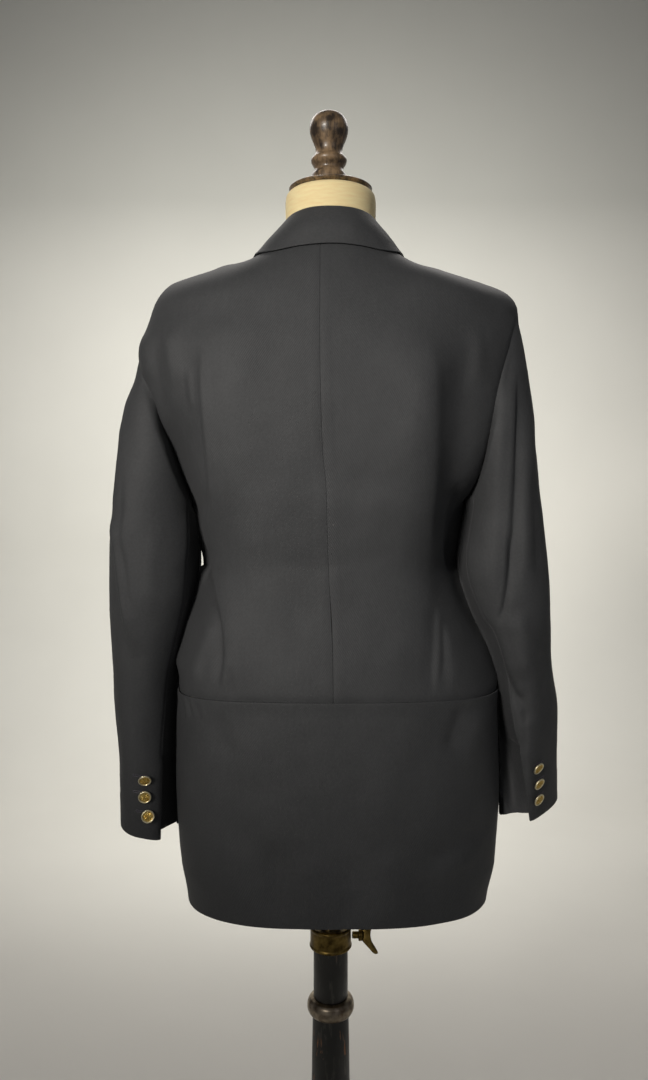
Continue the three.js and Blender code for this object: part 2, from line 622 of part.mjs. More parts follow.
// A smooth closed solid through the form's level sections.
function formTorso() {
  const positions = [];
  const index = [];
  const angles = steps(0, 360, FORM_COLUMNS).slice(0, -1);
  const places = FORM.map(({ z }) => z);
  places.forEach((z) => angles.forEach((angle) => {
    const round = 2 / (2 + (FORM_ROUND - 2) * smooth(1470 - z, 0, 90));
    const depth = column(FORM, Math.cos(radians(angle)) >= 0 ? 'back' : 'front', z);
    positions.push(column(FORM, 'half', z) * signedPower(Math.sin(radians(angle)), round),
      depth * signedPower(Math.cos(radians(angle)), round), z);
  }));
  const at = (i, j) => i * FORM_COLUMNS + (j % FORM_COLUMNS);
  for (let i = 0; i < places.length - 1; i += 1) {
    for (let j = 0; j < FORM_COLUMNS; j += 1) {
      index.push(at(i, j), at(i, j + 1), at(i + 1, j + 1), at(i, j), at(i + 1, j + 1), at(i + 1, j));
    }
  }
  const top = positions.length / 3;
  positions.push(0, 0, places[0]);
  positions.push(0, 0, places[places.length - 1]);
  for (let j = 0; j < FORM_COLUMNS; j += 1) {
    index.push(top, at(0, j + 1), at(0, j));
    index.push(top + 1, at(places.length - 1, j), at(places.length - 1, j + 1));
  }
  return facingOut(positions, index);
}

const NECK_TOP = FORM[0].z;
const FORM_FOOT = FORM[FORM.length - 1].z;
const PLATE_TOP = NECK_TOP + 10;
const FINIAL_SHIFT = 2;        // the finial is screwed in a little off the middle

const neckPlate = () => lathe([
  [0, NECK_TOP + RUNNING], [47, NECK_TOP + RUNNING], [50, NECK_TOP + 2.4], [50, NECK_TOP + 4],
  [46, NECK_TOP + 6.2], [36, NECK_TOP + 8.4], [24, PLATE_TOP], [0, PLATE_TOP],
], 32);

// The turned finial, from its flange to the ball.
const finial = () => lathe([
  [0, PLATE_TOP + RUNNING], [21, PLATE_TOP + RUNNING], [21.8, 1526], [20.8, 1533], [17.3, 1537], [16.9, 1541],
  [21.2, 1547], [21.2, 1552], [16.6, 1557], [15.8, 1562], [19.5, 1572], [22.4, 1580], [23.1, 1587],
  [22, 1594.5], [18, 1601.5], [10, 1606.5], [0, 1608],
], 24);

const formRod = () => lathe([
  [0, ROD_FOOT], [ROD_RADIUS - 1, ROD_FOOT], [ROD_RADIUS, ROD_FOOT + 1], [ROD_RADIUS, FORM_FOOT - 12],
  [ROD_FLANGE, FORM_FOOT - 8], [ROD_FLANGE, FORM_FOOT - RUNNING], [0, FORM_FOOT - RUNNING],
], 32);

// ---- The stand ----------------------------------------------------------------------------------

const bore = ROD_RADIUS + RUNNING;

// A turned tube round the rod: the outside profile from the foot up, closed by the bore.
const turnedTube = (low, high, outside) => lathe([[bore, low], ...outside, [bore, high], [bore, low]], 28);

const clampCollar = () => turnedTube(COLLAR_BAND.low, COLLAR_BAND.high, [
  [COLLAR_BAND.radius - 1.2, COLLAR_BAND.low], [COLLAR_BAND.radius, COLLAR_BAND.low + 1.2],
  [COLLAR_BAND.radius, COLLAR_BAND.high - 1.2], [COLLAR_BAND.radius - 1.2, COLLAR_BAND.high],
]);

const upperPole = () => turnedTube(RING_BAND.high + RUNNING, COLLAR_BAND.low - RUNNING, [
  [POLE_RADIUS, RING_BAND.high + RUNNING], [POLE_RADIUS, COLLAR_BAND.low - RUNNING],
]);

const poleRing = () => {
  const { low, high, radius } = RING_BAND;
  const middle = (low + high) / 2;
  return turnedTube(low, high, [
    [POLE_RADIUS, low], [radius - 3.5, low + 1.5], [radius - 0.8, low + 5], [radius, middle],
    [radius - 0.8, high - 5], [radius - 3.5, high - 1.5], [POLE_RADIUS, high],
  ]);
};

const lowerPole = () => lathe([
  [0, BASE_HEIGHT + RUNNING], [25, BASE_HEIGHT + RUNNING], [30, 44], [31, 52], [27, 62], [24.5, 74], [25.5, 90],
  [25, 220], [23.5, 400], [22.2, 490], [21.5, RING_BAND.low - RUNNING], [bore, RING_BAND.low - RUNNING],
  [bore, BORE_FLOOR], [0, BORE_FLOOR],
], 28);

const base = () => lathe([
  [0, 0], [BASE_RADIUS - 4, 0], [BASE_RADIUS, 4], [BASE_RADIUS, 16], [BASE_RADIUS - 5, 21],
  [BASE_RADIUS - 40, 24], [90, 30], [55, 33.5], [48, BASE_HEIGHT], [0, BASE_HEIGHT],
], 40);

// A geometry as a solid for joining.
function solid(geometry) {
  const bare = geometry.clone();
  bare.deleteAttribute('normal');
  bare.deleteAttribute('uv');
  const merged = mergeVertices(bare, 1e-4);
  return new wasm.Manifold(new wasm.Mesh({
    numProp: 3, vertProperties: merged.attributes.position.array, triVerts: Uint32Array.from(merged.index.array),
  }));
}

function meshOf(shape) {
  const { vertProperties, triVerts } = shape.getMesh();
  const geometry = new THREE.BufferGeometry();
  geometry.setAttribute('position', new THREE.BufferAttribute(Float32Array.from(vertProperties), 3));
  geometry.setIndex(new THREE.BufferAttribute(Uint32Array.from(triVerts), 1));
  geometry.computeVertexNormals();
  return geometry;
}

// The wing screw: a stem along -X with two flat round wings at its end.
function wingScrew() {
  const start = COLLAR_BAND.radius + RUNNING;
  const stem = new THREE.CylinderGeometry(SCREW_RADIUS, SCREW_RADIUS, 13, 16).rotateZ(Math.PI / 2)
    .translate(-start - 6.5, 0, 0);
  const boss = new THREE.CylinderGeometry(7, 6, 5, 20).rotateZ(Math.PI / 2).translate(-start - 11, 0, 0);
  const outline = new THREE.Shape();
  outline.moveTo(0, -5);
  outline.bezierCurveTo(8, -12, 10, -SCREW_WING - 4, 20, -SCREW_WING);
  outline.bezierCurveTo(30, -SCREW_WING + 6, 20, -6, 14, 0);
  outline.bezierCurveTo(20, 6, 30, SCREW_WING - 6, 20, SCREW_WING);
  outline.bezierCurveTo(10, SCREW_WING + 4, 8, 12, 0, 5);
  outline.closePath();
  const wings = new THREE.ExtrudeGeometry(outline, { depth: 3, bevelEnabled: false, curveSegments: 8 })
    .translate(0, 0, -1.5).rotateX(Math.PI / 2).rotateZ(Math.PI).translate(-start - 9, 0, 0)
    .rotateX(radians(25));
  return meshOf(solid(stem).add(solid(boss)).add(solid(wings)));
}

// ---- Putting it together ------------------------------------------------------------------------

const blazer = new THREE.Group();

function add(name, geometry, finish) {
  const mesh = new THREE.Mesh(geometry, new THREE.MeshStandardMaterial(finish));
  mesh.name = name;
  blazer.add(mesh);
  return mesh;
}

for (const side of ['left', 'right']) {
  add(`back_${side}`, backPanel(side), WOOL);
  add(`front_${side}`, frontPanel(side), WOOL);
  add(`front_peplum_${side}`, frontPeplum(side), WOOL);
  add(`lapel_${side}`, lapelPanel(side), WOOL);
  add(`top_sleeve_${side}`, sleevePanel(side, true), WOOL);
  add(`under_sleeve_${side}`, sleevePanel(side, false), WOOL);
  CUFF_BUTTONS[side].forEach(({ z, inset }, i) => {
    const { point, normal } = cuffButton(side, z, inset);
    seat(add(`cuff_button_${side}_${i + 1}`, shankButton(BUTTON_RADIUS), GILT), point, normal, CLOTH / 2 + 1.6 + RUNNING);
  });
}
add('back_peplum', backPeplum(), WOOL);
add('collar_fall', collarFall(), WOOL);
add('collar_stand', collarStand(), WOOL);

const buttonPlace = frontPoint(FRONT_BUTTON.x, FRONT_BUTTON.z);
const buttonLift = LAP_LIFT + CLOTH / 2 + 0.8 + RUNNING;
seat(add('front_button', sewnButton(FRONT_BUTTON.radius), HORN), buttonPlace, new THREE.Vector3(0, -1, 0), buttonLift);

add('form_torso', formTorso(), CALICO);
add('neck_plate', neckPlate(), DARK_WOOD);
add('finial', finial(), DARK_WOOD).position.x = FINIAL_SHIFT;
add('form_rod', formRod(), STEEL);
add('clamp_collar', clampCollar(), BRONZE);
add('wing_screw', wingScrew(), BRONZE).position.z = SCREW_HEIGHT;
add('pole_upper', upperPole(), DARK_WOOD);
add('pole_ring', poleRing(), DARK_WOOD);
add('pole_lower', lowerPole(), DARK_WOOD);
add('base', base(), DARK_WOOD);

export default blazer;
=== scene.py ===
"""A women's wool blazer on a limbless dress form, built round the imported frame.

The file is laid out as a Blender add-on and run as a script: properties, one operator for each group of
pieces, a panel, register and main. The pattern tables are in millimetres, as a cutter would write them;
every mesh is in metres.
"""
import math

import bmesh
import bpy
import numpy as np
from mathutils import Matrix, Vector


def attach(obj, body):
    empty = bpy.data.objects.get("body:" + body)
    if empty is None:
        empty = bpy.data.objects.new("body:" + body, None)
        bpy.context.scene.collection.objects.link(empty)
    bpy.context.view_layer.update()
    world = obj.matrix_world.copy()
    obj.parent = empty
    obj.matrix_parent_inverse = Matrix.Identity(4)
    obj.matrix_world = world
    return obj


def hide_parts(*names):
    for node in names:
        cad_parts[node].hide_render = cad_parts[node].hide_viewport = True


bl_info = {
    "name": "Blazer on a dress form",
    "version": (1, 0, 0),
    "blender": (4, 5, 0),
    "location": "3D View > Sidebar > Blazer",
    "description": "Builds a tailored wool blazer, its dress form and the stand",
    "category": "Object",
}

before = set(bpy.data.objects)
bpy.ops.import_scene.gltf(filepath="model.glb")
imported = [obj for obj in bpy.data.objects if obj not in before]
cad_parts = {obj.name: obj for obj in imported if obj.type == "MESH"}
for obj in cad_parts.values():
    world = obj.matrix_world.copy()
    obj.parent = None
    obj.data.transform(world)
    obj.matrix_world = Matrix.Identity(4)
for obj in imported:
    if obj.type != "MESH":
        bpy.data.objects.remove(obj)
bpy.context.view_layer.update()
MM = 0.001

# ---- Driving sizes, in millimetres ---------------------------------------------------------------

SEAM_OVERLAP = 0.15     # how far the rounded edges of two sewn pieces press into each other
FOLD_LIFT = 4.3         # a lapel or a collar lies this far out from the cloth under it
LAP_LIFT = 1.7          # the right front lies this far out, and the left this far in, where they lap
LAP_ENDS = (22, 70)     # and this dies away between these distances from the middle
UNDERARM_EASE = 2.6     # how far the sleeve stands off the body under the arm
BACK_SWELL = 30         # how strongly the sleeve's back and front leave the armhole
RING_STEP = 12          # the drop over which the sleeve's direction is read at the biceps
FALL_SWELL = 4          # how far the collar's fall rounds out
ROLL_RADIUS = 2.6       # of the collar's fold
ROLL_TAIL = 6           # the length turned down inside the fold
STAND_END = 0.58        # where the collar stand stops, as a share of the collar
STAND_FOOT = 1442.5     # its height at the neck seam
STAND_SPREAD = 0.07     # its foot is this much wider than the roll line
STAND_PINCH = 0.035     # and its top this much narrower
STAND_BELOW_ROLL = 4.5
LAPEL_GORGE = 1396      # the upper end of the lapel's roll line
LAPEL_TIP = 1325        # the lapel's point
LAPEL_FOOT = {"left": 1150, "right": 1102}
LAPEL_LEAST = 3         # a lapel is at least this wide
NECK_TOP = 1440         # where the bodice's tables begin
ALLOWANCE = 11          # width of the seam allowance pressed open behind a seam
HEM_ALLOWANCE = 44      # depth of the turned-up hem
CUFF_ALLOWANCE = 36
HIP = {"back": 929.5, "side": 921, "curve": 1.5}
HEM = {"back": 693, "side": 682, "curve": 2}
ARMHOLE_FULLNESS = 1.2  # more is narrower towards its ends than an ellipse
ARMHOLE = {
    "left": {"tip": 1316, "under": 1138, "back": 50, "front": 76},
    "right": {"tip": 1372, "under": 1138, "back": 63, "front": 78},
}
VENT = {
    "left": {"top": 853, "lap": 2, "under": 34},
    "right": {"top": 866, "lap": 2, "under": 40},
}
VENT_OPENING = 14       # a vent opens over this drop
VENT_LIFT = {"over": 1.1, "under": -2.6}
VENT_BLEND = {"over": 30, "under": 25}  # degrees over which the lap's lift dies away
CUFF = {
    "left": {"over": 757, "under": 763, "rise": 6, "dip": 9, "bulge": 5},
    "right": {"over": 772, "under": 778, "rise": 8, "dip": 5, "bulge": 24},
}
CUFF_BUTTONS = {
    "left": ({"z": 826, "inset": 20, "droop": 28}, {"z": 807, "inset": 19, "droop": 10},
             {"z": 785, "inset": 15, "droop": -6}),
    "right": ({"z": 834, "inset": 13, "droop": 24}, {"z": 815, "inset": 12, "droop": 22},
              {"z": 796, "inset": 10, "droop": 18}),
}
BUTTON_RADIUS = 7.5
BUTTON_STAND = 2.6      # how far a cuff button's back stands off the cloth, on its shank
FRONT_BUTTON = {"x": -2, "z": 1078, "radius": 11, "stand": 1.0}
BUTTON_THREAD = {"radius": 0.45, "length": 6.8, "height": 2.35}

# ---- Tables ---------------------------------------------------------------------------------------


def through(spots, values, places):
    """A smooth curve through a table's values, straight on past its ends."""
    slopes = np.empty_like(values)
    slopes[1:-1] = (values[2:] - values[:-2]) / (spots[2:] - spots[:-2])
    slopes[0] = (values[1] - values[0]) / (spots[1] - spots[0])
    slopes[-1] = (values[-1] - values[-2]) / (spots[-1] - spots[-2])
    low = np.clip(np.searchsorted(spots, places) - 1, 0, len(spots) - 2)
    span = spots[low + 1] - spots[low]
    share = (places - spots[low]) / span
    t = np.clip(share, 0, 1)
    rise = values[low + 1] - values[low]
    leave, arrive = slopes[low] * span, slopes[low + 1] * span
    curve = values[low] + leave * t + (3 * rise - 2 * leave - arrive) * t**2
    curve += (leave + arrive - 2 * rise) * t**3
    return curve + np.where(share > t, arrive, leave) * (share - t)


BLUR_REACH = 3          # a blur takes in the values up to this many of its spreads away


def blurred(values, spread):
    """Values evened out over their neighbours, keeping straight ends straight."""
    reach = int(BLUR_REACH * spread)
    if reach < 1:
        return values
    weights = np.exp(-0.5 * (np.arange(-reach, reach + 1) / spread) ** 2)
    longer = np.pad(values, reach, mode="reflect", reflect_type="odd")
    return np.convolve(longer, weights / weights.sum(), mode="valid")


class Table:
    """Rows with named columns, read along a smooth curve over the first column."""

    def __init__(self, columns, rows, step=1.0, reach=90.0, spread=8):
        rows = np.array(sorted(rows), float)
        spots = rows[:, 0]
        self.spots = np.arange(spots[0] - reach, spots[-1] + reach + step, step)
        self.curves = {
            name: blurred(through(spots, values, self.spots), spread)
            for name, values in zip(columns.split()[1:], rows.T[1:])
        }

    def __call__(self, name, spot):
        return np.interp(spot, self.spots, self.curves[name])


# The body in level sections: half widths to the wearer's left and right, depths behind and before the
# axis, and how square the section is.
BODY = Table("z left right back front square", (
    (1440, 76, 73, 66, 43, 2.1), (1424, 99, 93, 77, 60, 2.1), (1409, 129, 126, 84, 77, 2.15),
    (1397, 158, 162, 89, 89, 2.2), (1386, 183, 192, 93, 97, 2.25), (1374, 200, 214, 97, 103, 2.3),
    (1350, 212, 220, 104, 111, 2.3), (1316, 227, 219, 112, 121, 2.35), (1250, 212, 205, 120, 131, 2.35),
    (1200, 194, 190, 121, 131, 2.35), (1160, 174, 172, 118, 126, 2.35), (1138, 161, 158, 116, 122, 2.35),
    (1110, 152, 145, 111, 118, 2.35), (1068, 139, 135, 106, 113, 2.35), (1030, 147, 145, 110, 113, 2.4),
    (990, 163, 165, 118, 116, 2.45), (953, 175, 181, 124, 119, 2.5), (922, 177, 189, 127, 121, 2.5),
    (862, 178, 192, 129, 123, 2.5), (785, 178, 192, 130, 124, 2.5), (726, 173, 187, 130, 125, 2.45),
    (680, 167, 181, 129, 124, 2.4),
), spread=4)

# Where the centre-back seam and the right front's edge run.
BACK_SEAM = Table("z x", (
    (1440, 12), (1290, 12), (1190, 9), (1165, 6), (1070, 3), (995, -1), (931, -2),
))
FRONT_EDGE = Table("z x", (
    (1440, -70), (1400, -64), (1350, -54), (1280, -38), (1200, -18), (1120, 6), (1080, 15), (1000, 15),
    (917, 11), (840, 3), (770, -12), (720, -34), (682, -72),
))

# Each sleeve below the head in level rings: the centre, the half widths across and front to back, the
# turn about the vertical, where the two seams run round it, and how round the section is.
SLEEVE_COLUMNS = "z x y across deep turn elbow front round"
SLEEVE = {
    "left": Table(SLEEVE_COLUMNS, (
        (1120, 210.5, 0, 49, 67, 0, -60, 225, 1), (1085, 208.5, 3, 52.5, 66, 0, -54, 225, 0.98),
        (1040, 209, 5, 51, 64, 0, -54, 225, 0.96), (1000, 213, 4, 46, 62, 0, -55, 226, 0.95),
        (953, 218.5, 0, 38.5, 60, 0, -54, 228, 0.93), (910, 219.5, -3, 36.5, 59, 0, -48, 229, 0.92),
        (831, 217.5, -5, 33.5, 57, 0, -38, 232, 0.9), (757, 216.5, -6, 33, 55, 0, -32, 234, 0.9),
    )),
    "right": Table(SLEEVE_COLUMNS, (
        (1120, 205.5, 0, 46.5, 67, 0, -60, 225, 1), (1070, 203.5, 4, 52.5, 66, 3, -56, 225, 0.97),
        (1030, 209, 5, 49, 64, 7, -48, 228, 0.94), (990, 218.5, 4, 41.5, 62, 11, -38, 233, 0.91),
        (953, 226.5, 2, 34, 60, 15, -27, 239, 0.88), (910, 231.5, 0, 29, 59, 19, -12, 247, 0.84),
        (840, 234, -3, 26.5, 57, 23, 12, 256, 0.8), (776, 235.5, -6, 26, 56, 25, 29, 264, 0.76),
    )),
}
BICEPS = 1120

# The collar from the centre back to one end: the roll line, and where the fall's lower edge lies.
COLLAR = Table("at roll_x roll_y roll_z edge_angle edge_z", (
    (-0.16, -28, 57, 1473, -20, 1425), (0, 0, 62, 1474, 0, 1427), (0.16, 28, 57, 1473, 20, 1425),
    (0.34, 50, 37, 1469, 42, 1422), (0.52, 60, 8, 1458, 84, 1430), (0.7, 67, -30, 1438, 124, 1415),
    (0.86, 68, -59, 1420, 140, 1390), (1, 66, -83, 1403, 151, 1374),
), step=0.005, reach=0.2, spread=6)
LAPEL_EDGE = Table("z x", ((1100, 12), (1150, 45), (1210, 78), (1270, 102), (1325, 121)))

# The form inside, in level sections.
FORM = Table("z half back front", (
    (1511, 51, 51, 51), (1502, 54, 54, 54), (1470, 54, 54, 50), (1452, 57, 57, 45),
    (1438, 68, 63, 41), (1424, 88, 73, 54), (1409, 121, 80, 71), (1396, 153, 85.5, 83),
    (1384, 176, 89.5, 91), (1370, 186, 93.5, 98), (1345, 188, 101, 108), (1300, 184, 108, 118),
    (1240, 171, 114, 124), (1180, 157, 113, 122), (1120, 140, 105, 111), (1068, 129, 99, 104),
    (1020, 138, 103, 105), (960, 160, 114, 109), (900, 168, 119, 112), (852, 166, 117, 110),
), spread=4)
FORM_ROUND = 2.2        # how square the chest's section is; 2 is an ellipse
FORM_NECK = 1470        # the neck is an ellipse down to here
FORM_SHOULDER = 90      # and the section grows square over this drop
FORM_TOP = 1511
FORM_FOOT = 852
FORM_EDGE = 7           # the form's top and foot turn over with this radius
FORM_FIRST = 3          # the drop from the turned top to the next ring
FORM_PITCH = 3.5        # the drop between two rings of its mesh
FORM_AROUND = 144       # and the points of each ring
FORM_EDGE_RINGS = 7

# ---- Folds and wobble in the cloth ----------------------------------------------------------------

# Every fold is one row: the face it is seen from, how far it stands out (or, negative, sinks in), its
# widths to the left and right as seen when walking down its path, the share of its length that each end
# takes to die away, and its path. Places are across and up: x and z on the back and front, y and z on the
# left and right, x and y on the top.


def creases(text):
    """Reads a table of folds; a row's path may run on over the next line, and # starts a comment."""
    lines = [line.strip() for line in text.splitlines() if line.strip() and not line.strip().startswith("#")]
    rows = []
    for line in lines:
        head, colon, places = line.rpartition(":")
        if colon:
            face, *sizes = head.split()
            sizes = zip(("height", "left", "right", "fade"), map(float, sizes))
            rows.append(dict(sizes, face=face, path=[]))
        rows[-1]["path"] += [[float(number) for number in place.split(",")] for place in places.split()]
    return rows


# Broad fullness, which the creases lie on.
SWELLS = {
    "body": creases("""
        # the back hangs flat between its two long edges, and clear of the waist
        back 5.5 34 34 0.25: 104,1370 106,1230 104,1090 100,950
        back 6.5 36 24 0.25: -98,1370 -100,1230 -98,1090 -94,950
        back 5 50 50 0.2: 122,1080 0,1076 -118,1080
        # the wide shoulders
        top 12 40 40 0.3: 88,-8 140,-8 185,-4 219,0
        top 9 40 40 0.25: -92,-8 -150,-8 -190,-4 -236,0
        left 4 50 50 0.35: -2,1410 -2,1365 0,1316
        # fullness at the sides, in front of the arm
        left 14 45 20 0.38: -11,1172 -12,1130 -11,1090 -9,1050 -7,1010
        left 5 40 24 0.35: -6,1070 -2,1030 4,1002 10,965
        right 8 20 45 0.22: -10,1165 -11,1100 -10,1062 -8,1020 -6,950
        right 12 18 40 0.35: -10,1160 -11,1120 -10,1070 -9,985
        right 4.5 60 60 0.12: 0,1000 2,950 4,900 4,820 4,690
        left 2.5 60 60 0.2: 0,930 2,860 4,780 4,690
        """),
    "left_sleeve": creases("""
        right 3 30 30 0.3: 4,1062 5,1030 6,985 8,925
        """),
    "right_sleeve": creases("""
        # the forearm stands out towards the cuff
        right 8 45 45 0.3: -10,970 -10,880 -10,800 -10,690
        left 2 26 26 0.3: 14,1000 16,950 18,880 18,790
        """),
}

# Deep hollows, which sink straight in as seen from the back: where the bodice falls away under the arm,
# and where each under sleeve falls back from the elbow seam.
SUNK = {
    "body": creases("""
        back -25 20 19 0.35: 192,1268 183,1215 174,1170 166,1130 158,1090 150,1060
        back -14 10 5 0.3: 152,1112 146,1090 142,1072 137,1054 131,1036 127,1018
        """),
    "under_sleeve_left": creases("""
        back -26 13 18 0.12: 155,1150 156,1097 160,1040 164,1005 171,964 176,944 184,848 188,756 189,690
        """),
    "under_sleeve_right": creases("""
        back -26 16 14 0.25: -154,1190 -150,1130 -148,1075 -149,1040 -158,1000 -170,965 -181,935 -194,905
             -203,880 -210,848 -215,800 -216,745
        back -16 14 14 0.3: -188,920 -197,890 -205,862 -210,830 -213,790 -214,745
        """),
}

